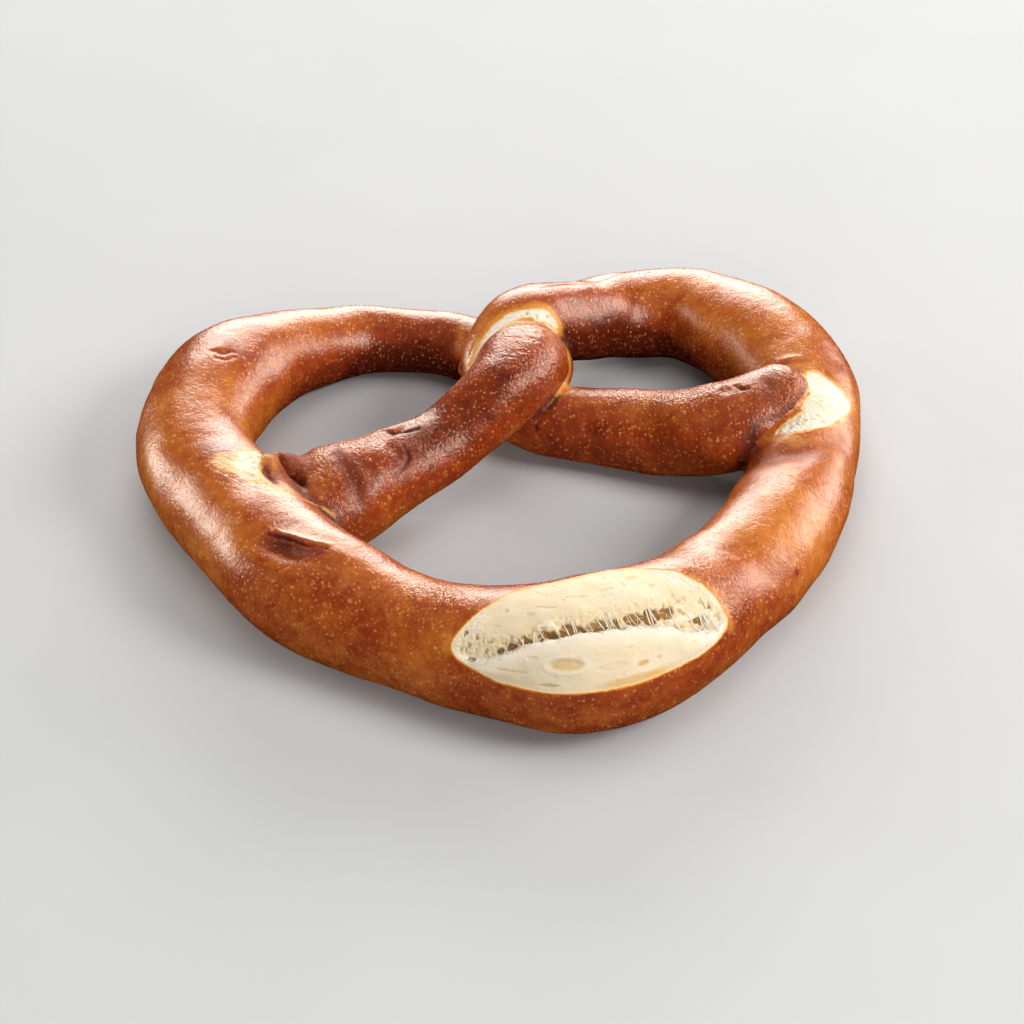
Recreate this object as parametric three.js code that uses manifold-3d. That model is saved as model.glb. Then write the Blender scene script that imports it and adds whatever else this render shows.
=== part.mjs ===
// A soft lye pretzel, baked from one rope of dough.
// The rope is thick at the belly, where the crust has burst open along the top,
// and thins towards the knot, where the two strands are wound once round each other.
// Their ends reach out as two arms that rest on the ring.
// Millimetres, +Z up. The pretzel lies on z = 0 with its belly towards -Y.

import * as THREE from 'three';
import { mergeVertices } from 'three/addons/utils/BufferGeometryUtils.js';
import Module from 'manifold-3d';

const wasm = await Module();
wasm.setup();

// Section of the rope, as shares of its half width
const ROUNDNESS = 0.92; // half height of a section
const SEAT = 0.9; // height of its middle over the tray, as a share of the half height

// Where the rope runs: the middle of its section in plan, the half width there, and how far
// a stretch is lifted by what it lies on. A flatter section has a roundness of its own.
const STATIONS = [
  { name: 'left arm end', x: -50, y: 0, half: 16.5, lift: -1.5, roundness: 0.62 },
  { name: 'left arm foot', x: -38.5, y: 3.5, half: 12.8, lift: 1.5, roundness: 0.84 },
  { name: 'left arm middle', x: -25.5, y: 10.5, half: 10.2, lift: 5 },
  { name: 'left arm top', x: -13, y: 16, half: 8.9, lift: 8.5 },
  { name: 'left over', x: 1, y: 25.5, half: 9.7, lift: 14 },
  { name: 'left bend', x: 6.5, y: 36, half: 10.5, lift: 12.5 },
  { name: 'left rise', x: 10.5, y: 43.5, half: 9.4, lift: 7 },
  { name: 'left under', x: 8.5, y: 51, half: 9.2, lift: 2.5 },
  { name: 'left out', x: 1.5, y: 59.5, half: 8.8, lift: 0.8 },
  { name: 'left back', x: -8, y: 66.5, half: 8.5, lift: 0 },
  { name: 'left loop top', x: -27.5, y: 70.5, half: 8.7, lift: 0 },
  { name: 'left shoulder', x: -48.5, y: 64, half: 11.8, lift: 0 },
  { name: 'left side back', x: -63.5, y: 50, half: 14.2, lift: 0 },
  { name: 'left side', x: -72, y: 26, half: 14, lift: 0 },
  { name: 'left hip', x: -64.5, y: -0.5, half: 14.2, lift: 0 },
  { name: 'left front', x: -49.5, y: -29, half: 15, lift: 0 },
  { name: 'left neck', x: -31, y: -45.5, half: 13.4, lift: 0 },
  { name: 'belly left', x: -14.5, y: -55.5, half: 14.8, lift: 0 },
  { name: 'belly', x: 3.5, y: -62, half: 17.7, lift: 0 },
  { name: 'belly right', x: 21.5, y: -57, half: 16.4, lift: 0 },
  { name: 'right front', x: 37.5, y: -43.5, half: 14, lift: 0 },
  { name: 'right hip', x: 56, y: -23, half: 13.5, lift: 0 },
  { name: 'right side', x: 69, y: 5.5, half: 12.3, lift: 0 },
  { name: 'right side back', x: 72.5, y: 33, half: 13.8, lift: 0 },
  { name: 'right shoulder', x: 64.5, y: 53.5, half: 13.7, lift: 0 },
  { name: 'right loop top', x: 50, y: 67.5, half: 11.9, lift: 0 },
  { name: 'right back', x: 34, y: 67, half: 11, lift: 2 },
  { name: 'right rise', x: 20, y: 58.5, half: 10.3, lift: 8 },
  { name: 'right over', x: 8.5, y: 50.5, half: 9.8, lift: 13 },
  { name: 'right curl', x: 2, y: 43.5, half: 8.7, lift: 9.5 },
  { name: 'right fall', x: 3.5, y: 35.5, half: 8.7, lift: 4.5 },
  { name: 'right under', x: 11.5, y: 30, half: 9.2, lift: 1.5 },
  { name: 'right arm top', x: 24, y: 25, half: 9.5, lift: 1 },
  { name: 'right arm middle', x: 38.5, y: 19, half: 10.6, lift: 1 },
  { name: 'right arm foot', x: 51, y: 14, half: 12, lift: 4.5, roundness: 0.88 },
  { name: 'right arm end', x: 63, y: 16, half: 9.2, lift: 12, roundness: 0.88 },
];

// The rope crosses itself in the knot, so it is swept in three runs that share these sections
const FIRST_CUT = 'left under';
const SECOND_CUT = 'right back';

// Spacing of the sections along the rope, and points round each of them
const PITCH = 5.4;
const KNOT_PITCH = 3.8; // where the rope is lifted by more than this:
const KNOT_LIFT = 4;
const BELLY_PITCH = 2.4; // in the burst, and this far past its tips:
const BELLY_MARGIN = 8;
const ROUND_POINTS = 34;
const TOP_CLOCK = 75; // the points crowd towards this clock angle, where the relief is
const CROWDING = 0.3;
const END_ROWS = 5;
const END_REACH = 0.9; // length of a rounded end, as a share of its half height

// The burst in the belly: a long almond open along the top, with a torn trench between two
// lobes of crumb. Clock angles go from the outer side of the ring (0) over the top (90).
const BURST = {
  middle: 329, // distance along the rope from its left end
  halfLength: 25,
  trenchClock: 63,
  fade: 24, // past the tips, over which the points round a section find back to their places
  trenchDroop: 25, // the trench lies lower on the outer side towards both tips
  backSpan: 60, // clock degrees from the trench to the back rim
  frontSpan: 46,
  trenchDepth: 2.5,
  trenchHalfWidth: 2.7,
  backSlope: 1.8,
  frontSwell: 0.9,
  rim: 0.5, // step from the crust down to the crumb
  rimReach: 1.15, // where the step ends outside the burst, as a share of its half width
  bluntness: 0.55, // a lower power gives the almond rounder tips
};

// Dents, folds and creases: place along the rope, clock angle, half sizes along and round,
// depth (a negative depth is a swelling), and the turn of the long direction in degrees
const DENTS = [
  { name: 'fold in the left front', along: 261, clock: 66, long: 8, wide: 2.4, depth: 1.7, turn: 16 },
  { name: 'lip over the fold', along: 263, clock: 82, long: 8, wide: 1.8, depth: -0.7, turn: 14 },
  { name: 'dimple in the left loop', along: 182, clock: 100, long: 2.4, wide: 1.2, depth: 0.7, turn: 0 },
  { name: 'left tear', along: 232, clock: 104, long: 12, wide: 3.4, depth: 0.9, turn: -22 },
  { name: 'right tear', along: 432, clock: 62, long: 9, wide: 6, depth: 0.5, turn: 0 },
  { name: 'notch in the left arm', along: 28, clock: 104, long: 4.5, wide: 1.5, depth: 1, turn: 12 },
  { name: 'crease in the left arm', along: 24, clock: 66, long: 1.3, wide: 4.5, depth: 0.9, turn: 15 },
  { name: 'fold at the left arm end', along: 5, clock: 118, long: 2.4, wide: 7, depth: 2, turn: -20 },
  { name: 'pit in the right arm', along: 625, clock: 88, long: 1.8, wide: 2.6, depth: 1.4, turn: 30 },
  { name: 'hollow before the right arm end', along: 619, clock: 62, long: 3, wide: 6, depth: 0.8, turn: 0 },
  { name: 'wrinkle on the right back', along: 517, clock: 70, long: 5, wide: 1.2, depth: 0.6, turn: 10 },
];

// Stretched crumb that still joins each arm to the ring: middle, half sizes and turn in plan
const WEBS = [
  { name: 'right web', middle: [70, 12.5, 13.5], half: [12, 11, 9.6], turn: 0 },
  { name: 'left web', middle: [-57, 0, 14.5], half: [7.5, 13, 9.2], turn: 30 },
];

// Slow unevenness of the dough: waves along the rope and round it
const WAVES = [
  { height: 0.22, length: 61, turns: 1, shift: 0.4 },
  { height: 0.16, length: 37, turns: 2, shift: 2.1 },
  { height: 0.1, length: 19, turns: 3, shift: 4.4 },
];

const CRUST = new THREE.MeshStandardMaterial({ color: 0xa9572a, roughness: 0.38, metalness: 0 });

const roundnessOf = (station) => station.roundness ?? ROUNDNESS;
const restHeight = (station) => SEAT * ROUNDNESS * station.half;

// The middle line of the rope, and its half width and half height as a second curve
const STEPS_PER_STATION = 16;
const spans = STATIONS.length - 1;
const middleLine = new THREE.CatmullRomCurve3(
  STATIONS.map((s) => new THREE.Vector3(s.x, s.y, restHeight(s) + s.lift)),
  false,
  'centripetal',
);
middleLine.arcLengthDivisions = spans * STEPS_PER_STATION;
const sizes = new THREE.CatmullRomCurve3(
  STATIONS.map((s) => new THREE.Vector3(s.half, s.half * roundnessOf(s), 0)),
  false,
  'catmullrom',
  0.5,
);
const lengths = middleLine.getLengths();
const ropeLength = lengths[lengths.length - 1];
const alongAt = (index) => lengths[index * STEPS_PER_STATION];
const stationIndex = (name) => STATIONS.findIndex((s) => s.name === name);

// Directions of the section at parameter t: forward, sideways and up.
// Forward is taken over half a station each way, so that sections in a bend don't cross.
function sectionFrame(t) {
  const window = 0.5 / spans;
  const before = middleLine.getPoint(Math.max(0, t - window));
  const after = middleLine.getPoint(Math.min(1, t + window));
  const forward = after.sub(before).normalize();
  const side = new THREE.Vector3().crossVectors(forward, new THREE.Vector3(0, 0, 1)).normalize();
  const up = new THREE.Vector3().crossVectors(side, forward);
  return { forward, side, up };
}

// Rises smoothly from 0 to 1 as the value goes from one edge to the other, either way round
function smooth(from, to, value) {
  const share = THREE.MathUtils.clamp((value - from) / (to - from), 0, 1);
  return share * share * (3 - 2 * share);
}

// How far the burst is open at a place along the rope (1 in the middle, 0 at its tips and past
// them), and the clock angle of the trench there
function burstAt(along) {
  const u = (along - BURST.middle) / BURST.halfLength;
  const openness = Math.max(0, 1 - u * u);
  return { openness, trench: BURST.trenchClock - BURST.trenchDroop * (1 - openness) };
}

// Angle of one of the points round a section. They stand closer together on top, and one of
// them follows the bottom of the trench.
function sectionAngle(index, along) {
  const { trench } = burstAt(along);
  const past = Math.abs(along - BURST.middle) - BURST.halfLength;
  const inBurst = smooth(BURST.fade, 0, past);
  const centre = THREE.MathUtils.lerp(TOP_CLOCK, trench, inBurst);
  const even = (2 * Math.PI * index) / ROUND_POINTS;
  return even - CROWDING * Math.sin(even) + THREE.MathUtils.degToRad(centre);
}

// Height of the burst over the plain section, at a place along the rope and a clock angle
function burstRelief(along, clock, radius) {
  const { openness, trench } = burstAt(along);
  if (openness <= 0) return 0;
  const offset = clock - trench;
  const onBack = Math.round(offset) >= 0; // the bottom of the trench goes with the back lobe
  const span = onBack ? BURST.backSpan : BURST.frontSpan;
  const inside = Math.abs(offset) / (span * Math.pow(openness, BURST.bluntness));
  if (inside >= BURST.rimReach) return 0;
  const strength = Math.sqrt(openness);
  const distance = THREE.MathUtils.degToRad(Math.abs(offset)) * radius;
  const trenchProfile = (distance / (BURST.trenchHalfWidth * strength)) ** 2;
  const cut = -BURST.trenchDepth * Math.exp(-trenchProfile);
  const lobe = Math.max(0, 1 - inside * inside);
  const flank = onBack
    ? -BURST.backSlope * lobe
    : BURST.frontSwell * Math.sin(Math.PI * Math.min(1, inside));
  const rim = -BURST.rim * smooth(BURST.rimReach, 1, inside);
  return rim + (flank * smooth(BURST.rimReach, 1, inside) + cut) * strength;
}

// Height of all dents over the plain section
function dentRelief(along, clock, radius) {
  let height = 0;
  for (const dent of DENTS) {
    const turn = THREE.MathUtils.degToRad(dent.turn);
    const a = along - dent.along;
    const b = THREE.MathUtils.degToRad(clock - dent.clock) * radius;
    const lengthwise = (a * Math.cos(turn) + b * Math.sin(turn)) / dent.long;
    const crosswise = (b * Math.cos(turn) - a * Math.sin(turn)) / dent.wide;
    height -= dent.depth * Math.exp(-(lengthwise ** 2) - crosswise ** 2);
  }
  return height;
}

function waveRelief(along, angle) {
  let height = 0;
  for (const wave of WAVES) {
    height += wave.height * Math.sin((2 * Math.PI * along) / wave.length + wave.turns * angle + wave.shift);
  }
  return height;
}

// A point of the rope: distance along it, share of the half width, and angle round it.
// Past either end the rope goes straight on, which is where its rounded ends lie.
function ropePoint(along, share, angle) {
  const held = THREE.MathUtils.clamp(along, 0, ropeLength);
  const t = middleLine.getUtoTmapping(held / ropeLength);
  const { forward, side, up } = sectionFrame(t);
  const size = sizes.getPoint(t);
  const clock = THREE.MathUtils.euclideanModulo(THREE.MathUtils.radToDeg(angle) + 90, 360) - 90;
  const radius = (size.x + size.y) / 2;
  const relief = burstRelief(along, clock, radius)
    + dentRelief(along, clock, radius)
    + waveRelief(along, angle);
  const outward = side.clone().multiplyScalar(Math.cos(angle) * (size.x + relief) * share);
  outward.addScaledVector(up, Math.sin(angle) * (size.y + relief) * share);
  const point = middleLine.getPoint(t).add(outward).addScaledVector(forward, along - held);
  point.z = Math.max(0, point.z);
  return point;
}

// Distances along the rope at which a run has its sections
function sectionPlaces(from, to) {
  const places = [alongAt(from)];
  for (let index = from; index < to; index += 1) {
    const start = alongAt(index);
    const length = alongAt(index + 1) - start;
    const middle = start + length / 2;
    const inBurst = Math.abs(middle - BURST.middle) < BURST.halfLength + BELLY_MARGIN;
    const inKnot = Math.max(STATIONS[index].lift, STATIONS[index + 1].lift) > KNOT_LIFT;
    const pitch = inBurst ? BELLY_PITCH : inKnot ? KNOT_PITCH : PITCH;
    const steps = Math.ceil(length / pitch);
    for (let step = 1; step < steps; step += 1) places.push(start + (length * step) / steps);
    places.push(alongAt(index + 1));
  }
  return places;
}

// Profile of a run before it is bent: radius as a share against distance along the rope.
// An end of the rope is rounded, and a cut through it is flat.
function runProfile(from, to) {
  const profile = sectionPlaces(from, to).map((along) => new THREE.Vector2(1, along));
  const addEnd = (along, direction, index, place) => {
    const rounded = index === 0 || index === spans;
    const station = STATIONS[index];
    const reach = END_REACH * station.half * roundnessOf(station);
    const rows = rounded ? END_ROWS : 1;
    for (let row = 1; row <= rows; row += 1) {
      const angle = ((Math.PI / 2) * row) / rows;
      const share = row === rows ? 0 : Math.cos(angle);
      const past = rounded ? direction * reach * Math.sin(angle) : 0;
      place(new THREE.Vector2(share, along + past));
    }
  };
  addEnd(alongAt(from), -1, from, (point) => profile.unshift(point));
  addEnd(alongAt(to), 1, to, (point) => profile.push(point));
  return profile;
}

// Closed mesh with positions only, as manifold-3d takes it
function solidOf(geometry) {
  const bare = geometry.clone();
  bare.deleteAttribute('normal');
  bare.deleteAttribute('uv');
  const merged = mergeVertices(bare, 1e-5);
  const index = Array.from(merged.index.array);
  const kept = [];
  for (let i = 0; i < index.length; i += 3) {
    const [a, b, c] = [index[i], index[i + 1], index[i + 2]];
    if (a !== b && b !== c && c !== a) kept.push(a, b, c);
  }
  const mesh = new wasm.Mesh({
    numProp: 3,
    vertProperties: new Float32Array(merged.attributes.position.array),
    triVerts: new Uint32Array(kept),
  });
  return new wasm.Manifold(mesh);
}

// One run of the rope: a turned blank, bent along the middle line
function ropeRun(fromName, toName) {
  const from = fromName ? stationIndex(fromName) : 0;
  const to = toName ? stationIndex(toName) : spans;
  const blank = new THREE.LatheGeometry(runProfile(from, to), ROUND_POINTS);
  const position = blank.attributes.position;
  const place = new THREE.Vector3();
  for (let i = 0; i < position.count; i += 1) {
    place.fromBufferAttribute(position, i);
    const share = Math.hypot(place.x, place.z);
    const step = Math.round((Math.atan2(-place.x, place.z) / (2 * Math.PI)) * ROUND_POINTS);
    const angle = sectionAngle((step + ROUND_POINTS) % ROUND_POINTS, place.y);
    const point = ropePoint(place.y, share < 1e-6 ? 0 : share, angle);
    position.setXYZ(i, point.x, point.y, point.z);
  }
  return solidOf(blank);
}

// One web of crumb between an arm and the ring
function crumbWeb(web) {
  const ball = new THREE.IcosahedronGeometry(1, 3);
  ball.scale(web.half[0], web.half[1], web.half[2]);
  ball.rotateZ(THREE.MathUtils.degToRad(web.turn));
  ball.translate(web.middle[0], web.middle[1], web.middle[2]);
  return solidOf(ball);
}

function pretzelGeometry() {
  let solid = ropeRun(FIRST_CUT, SECOND_CUT);
  solid = solid.add(ropeRun(null, FIRST_CUT));
  solid = solid.add(ropeRun(SECOND_CUT, null));
  for (const web of WEBS) solid = solid.add(crumbWeb(web));
  const mesh = solid.getMesh();
  const geometry = new THREE.BufferGeometry();
  geometry.setAttribute('position', new THREE.BufferAttribute(new Float32Array(mesh.vertProperties), 3));
  geometry.setIndex(new THREE.BufferAttribute(new Uint32Array(mesh.triVerts), 1));
  geometry.computeVertexNormals();
  return geometry;
}

const pretzel = new THREE.Mesh(pretzelGeometry(), CRUST);
pretzel.name = 'pretzel';

const part = new THREE.Group();
part.add(pretzel);

export default part;
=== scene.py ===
"""A soft lye pretzel: glossy crust over one rope of dough, burst along the belly and torn at the
arms and the knot. Places on the rope are given by the distance along it from the left arm's end
and by a clock angle round it: 0 on the outer side of the ring, 90 on top, 180 inside."""

import itertools
import math

import bmesh
import bpy
import numpy as np
from bpy.props import FloatProperty, FloatVectorProperty, IntProperty, PointerProperty
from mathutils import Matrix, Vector
from mathutils.bvhtree import BVHTree
from mathutils.kdtree import KDTree


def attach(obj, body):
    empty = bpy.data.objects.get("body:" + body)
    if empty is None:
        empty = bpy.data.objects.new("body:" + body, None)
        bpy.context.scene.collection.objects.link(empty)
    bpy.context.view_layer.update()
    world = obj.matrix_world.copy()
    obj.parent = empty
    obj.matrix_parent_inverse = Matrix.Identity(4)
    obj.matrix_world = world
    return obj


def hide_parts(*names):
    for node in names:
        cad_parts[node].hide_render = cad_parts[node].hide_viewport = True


bl_info = {
    "name": "Soft pretzel",
    "version": (1, 0, 0),
    "blender": (4, 5, 0),
    "location": "3D View > Sidebar > Pretzel",
    "description": "Makes a soft lye pretzel with a burst belly, its stage and its camera",
    "category": "Object",
}

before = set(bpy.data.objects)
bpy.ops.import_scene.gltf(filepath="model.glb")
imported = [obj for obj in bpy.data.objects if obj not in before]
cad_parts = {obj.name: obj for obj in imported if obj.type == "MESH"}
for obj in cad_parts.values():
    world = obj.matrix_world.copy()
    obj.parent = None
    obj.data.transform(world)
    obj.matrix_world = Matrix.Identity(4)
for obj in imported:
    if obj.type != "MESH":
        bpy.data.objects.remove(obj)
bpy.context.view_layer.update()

MM = 0.001

# Height of the rope to its width, and of its middle to its half height, so that it lies flat
ROUNDNESS = 0.92
SEAT = 0.9
# The rope, in millimetres: name, middle in plan, half width, lift over the tray and roundness
STATIONS = (
    ("left arm end", -50, 0.5, 16.5, -1.2, 0.72),
    ("left arm foot", -38.5, 4, 13, 1.9, 0.87),
    ("left arm middle", -25.5, 10.5, 10.2, 5, ROUNDNESS),
    ("left arm top", -13, 16, 8.9, 8.5, ROUNDNESS),
    ("left over", 1, 25.5, 9.7, 14, ROUNDNESS),
    ("left bend", 6.5, 36, 10.5, 12.5, ROUNDNESS),
    ("left rise", 10.5, 43.5, 9.4, 7, ROUNDNESS),
    ("left under", 8.5, 51, 9.2, 2.5, ROUNDNESS),
    ("left out", 1.5, 59.5, 8.8, 0.8, ROUNDNESS),
    ("left back", -8, 66.5, 8.5, 0, ROUNDNESS),
    ("left loop top", -27.5, 70.5, 8.7, 0, ROUNDNESS),
    ("left shoulder", -48.5, 64, 11.8, 0, ROUNDNESS),
    ("left side back", -63.5, 50, 14.2, 0, ROUNDNESS),
    ("left side", -72, 26, 14, 0, ROUNDNESS),
    ("left hip", -64.5, -0.5, 14.2, 0, ROUNDNESS),
    ("left front", -49.5, -29, 15, 0, ROUNDNESS),
    ("left neck", -31, -45.5, 13.4, 0, ROUNDNESS),
    ("belly left", -14.5, -55.5, 14.8, 0, ROUNDNESS),
    ("belly", 3.5, -62, 17.7, 0, ROUNDNESS),
    ("belly right", 21.5, -57, 16.4, 0, ROUNDNESS),
    ("right front", 37.5, -43.5, 14, 0, ROUNDNESS),
    ("right hip", 56, -23, 13.5, 0, ROUNDNESS),
    ("right side", 69, 5.5, 12.3, 0, ROUNDNESS),
    ("right side back", 72.5, 33, 13.8, 0, ROUNDNESS),
    ("right shoulder", 64.5, 53.5, 13.7, 0, ROUNDNESS),
    ("right loop top", 50, 67.5, 11.9, 0, ROUNDNESS),
    ("right back", 34, 67, 11, 2, ROUNDNESS),
    ("right rise", 20, 58.5, 10.3, 8, ROUNDNESS),
    ("right over", 8.5, 50.5, 9.8, 13, ROUNDNESS),
    ("right curl", 2, 43.5, 8.7, 9.5, ROUNDNESS),
    ("right fall", 3.5, 35.5, 8.7, 4.5, ROUNDNESS),
    ("right under", 11.5, 30, 9.2, 1.5, ROUNDNESS),
    ("right arm top", 24, 25, 9.5, 1, ROUNDNESS),
    ("right arm middle", 38.5, 19, 10.6, 1, ROUNDNESS),
    ("right arm foot", 51, 14, 12, 4.5, 0.88),
    ("right arm end", 65, 16.3, 9.2, 12, 0.88),
)
# Stretches of it that are made as tubes and joined: the stations at their ends, or none at an arm's end
RUNS = (("left under", "right back"), (None, "left under"), ("right back", None))
# The rounded ends: how far they reach for their half width, and the arc over one in mm
END_REACH = 0.9
END_GIRTH = 8
# Distance round the rope, in mm, that the points of a tube are shared out over
GIRTH = 75

# Stretched crumb between each arm and the ring, as balls: middle, half sizes and turn in plan
WEB_RINGS = 28
WEBS = (
    ("right web", (70, 12.5, 13.5), (12, 11, 9.6), 0),
    ("left web", (-57, 0, 14.5), (7.5, 13, 9.2), 30),
    ("left arm flap", (-54.2, 4.8, 15.4), (8.2, 6.2, 9), 8),
    ("right web edge", (59.5, 3, 12.5), (6, 5, 7.6), 0),
)

# Places where the join of two parts is drawn softly together: name, middle and radius
SOFT = (
    ("right web", (61, 2, 19), 6),
    ("right web's outer side", (79, 7, 18), 9),
    ("left web", (-62, 2, 22), 9),
    ("left web's tail", (-56, -9, 23), 7),
)

# Dents: name, along, clock, half sizes along and round, depth and turn
DENTS = (
    ("fold in the left front", 261, 66, 8, 2.4, 1.7, 16),
    ("lip over the fold", 263, 82, 8, 1.8, -0.7, 14),
    ("dimple in the left loop", 182, 100, 2, 1.1, 0.4, 0),
    ("left tear", 232, 104, 12, 3.4, 0.9, -22),
    ("right tear", 432, 62, 9, 6, 0.5, 0),
    ("notch in the left arm", 28, 104, 4.5, 1.5, 1, 12),
    ("crease in the left arm", 24, 66, 1.3, 4.5, 0.9, 15),
    ("fold at the left arm end", 5, 118, 2.4, 7, 2, -20),
    ("pit in the right arm", 623, 92, 1.3, 1.6, 0.6, 30),
    ("hollow before the right arm end", 619, 62, 3, 6, 0.8, 0),
    ("wrinkle on the right back", 517, 70, 5, 1.2, 0.6, 10),
)

# Grooves pressed or folded into the crust: name, path, half width, depth, and how dark the shade painted into
# them is
GROOVES = (
    ("left arm end", ((-53.7, 4.8, 23.8), (-53.4, 3.6, 23.5), (-52.6, 2.3, 22.7), (-51.6, 1.1, 21.5),
                      (-50.2, -0.4, 20.3), (-49, -3, 20.2), (-47.6, -5.4, 19.4), (-46, -7.4, 18)),
     0.6, 1.2, 0.85),
    ("left arm pit", ((-50.8, 0.4, 20.8), (-49.6, -1.4, 20.2), (-48.6, -3.6, 20)), 1.3, 1.2, 0.95),
    ("left tear cavity", ((-57.6, 3, 23.2), (-57.2, 0.4, 23.4), (-56.4, -2.4, 23.7), (-55.4, -4.8, 23.8)),
     1.3, 0.9, 0.8),
    ("left arm waist", ((-40.9, 4, 23.3), (-38.6, -0.8, 22.4), (-37, -4.5, 20.8), (-36.8, -7.8, 18.4)),
     1.6, 0.7, 0.3),
    ("left arm crease", ((-25.1, 6.8, 22), (-24.2, 4.2, 20.8), (-25.4, 2, 19.8), (-28, -0.8, 19.2)),
     0.5, 0.4, 0.35),
    ("left arm notch", ((-29.6, 14.2, 21), (-27, 13, 21.3), (-24, 11.8, 22.4), (-21, 12.2, 22.5)),
     0.6, 0.7, 0.6),
    ("right arm pit", ((53.8, 15.4, 24.6), (54.9, 13.8, 25), (56.2, 13.4, 25.3)), 0.6, 0.8, 0.8),
    ("right arm hollow", ((60.4, 15, 26.4), (61.6, 12.9, 26.1), (60.4, 11, 25.3)), 1.2, 0.35, 0.25),
    ("right arm side", ((52.3, 1.4, 8), (53.6, 1.8, 12.5), (55.4, 2.1, 15.7)), 0.7, 0.7, 0.9),
    ("hollow under the right tear", ((53.5, -4.5, 17.5), (58, -7, 20.5), (63, -7.5, 22), (69, -5.5, 21.6),
                                     (75, -1, 19.5)), 4, 1.6, 0.35),
    ("ridge over the right tear", ((66.5, 27, 22.2), (69, 26.8, 22.8), (71.5, 26.5, 23)), 1.2, -0.4, 0),
    ("right back wrinkle", ((14, 55, 29.4), (18.4, 58.7, 27.3), (21.9, 60.9, 25.9), (27, 63.6, 23.7)),
     0.55, 0.25, 0.3),
    ("dimple", ((-66, 45.9, 25.2), (-63.6, 45.5, 24.4), (-61, 45.6, 24.4)), 0.7, 0.45, 0.25),
    ("small fold", ((-65.3, 43, 24.9), (-63, 42.7, 24.6), (-61, 43.8, 24.4)), 0.5, 0.4, 0.2),
    ("front fold", ((-58.7, -26, 23.3), (-56.2, -27.7, 23.3), (-53.1, -30, 24.2), (-50, -32.6, 25.3),
                    (-47.5, -33.8, 25.8)), 1.4, 0.7, 0.6),
    ("front fold line", ((-58.5, -24.7, 24.6), (-56.9, -25.9, 24.9), (-55.2, -27.3, 25.3),
                         (-52.4, -29.8, 25.7), (-50.1, -31.6, 25.9), (-46.5, -33, 26.1)), 0.5, 0.5, 0.9),
    ("front fold lip", ((-58.5, -23.8, 25.3), (-55.2, -26.4, 25.9), (-52.4, -28.8, 26.4),
                        (-49.1, -31.2, 26.5), (-45.6, -31.7, 26.2)), 0.7, -0.3, 0),
    ("under the knot's corner", ((14.6, 29.2, 17.4), (13, 27, 17), (10.5, 24.8, 15.5), (8, 22.6, 12)),
     0.6, 0.4, 0.85),
    ("knot seam", ((17.2, 36, 22), (17, 33.4, 18.6), (15.2, 29.2, 17.6), (11.9, 25.6, 16.6), (8, 22.6, 12)),
     0.7, 0.7, 0.2),
)

# Slow unevenness: height, length of the wave, turns round the rope and shift
WAVES = ((0.22, 61, 1, 0.4), (0.16, 37, 2, 2.1), (0.1, 19, 3, 4.4))

# Lumps of the dough: height and size
LUMPS = ((0.3, 15), (0.16, 7), (0.07, 3.4))


# Maths on arrays

def smooth(low, high, value):
    share = np.clip((value - low) / (high - low), 0, 1)
    return share * share * (3 - 2 * share)


RANDOM = np.random.default_rng(7).uniform(-1, 1, 4096)
PRIMES = (73856093, 19349663, 83492791)


def noise(seed, *coordinates):
    """Smooth noise from -1 to 1 over one to three arrays of coordinates, one cell per unit"""
    cells = [np.floor(c).astype(np.int64) for c in coordinates]
    shares = [c - cell for c, cell in zip(coordinates, cells)]
    shares = [s * s * s * (s * (6 * s - 15) + 10) for s in shares]
    total = 0
    for corner in itertools.product((0, 1), repeat=len(cells)):
        key = seed * 2654435761
        weight = 1
        for bit, cell, share, prime in zip(corner, cells, shares, PRIMES):
            key = key ^ ((cell + bit) * prime)
            weight = weight * (share if bit else 1 - share)
        key = (key ^ (key >> 13)) * 1274126177
        total = total + weight * RANDOM[(key ^ (key >> 16)) % len(RANDOM)]
    return total


def spline(points, t, centripetal):
    """Catmull-Rom curve through points; a whole number t is at a point"""
    padded = np.vstack([2 * points[0] - points[1], points, 2 * points[-1] - points[-2]])
    index = np.clip(np.floor(t).astype(int), 0, len(points) - 2)
    share = (t - index)[:, None]
    p0, p1, p2, p3 = (padded[index + k] for k in range(4))
    if centripetal:
        pairs = ((p0, p1), (p1, p2), (p2, p3))
        d0, d1, d2 = (np.sqrt(np.linalg.norm(b - a, axis=1))[:, None] for a, b in pairs)
        leave = ((p1 - p0) / d0 - (p2 - p0) / (d0 + d1) + (p2 - p1) / d1) * d1
        arrive = ((p2 - p1) / d1 - (p3 - p1) / (d1 + d2) + (p3 - p2) / d2) * d1
    else:
        leave = 0.5 * (p2 - p0)
        arrive = 0.5 * (p3 - p1)
    bend = -3 * p1 + 3 * p2 - 2 * leave - arrive
    return p1 + share * (leave + share * (bend + share * (2 * p1 - 2 * p2 + leave + arrive)))


def unit(vectors):
    return vectors / np.linalg.norm(vectors, axis=-1, keepdims=True)


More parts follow.
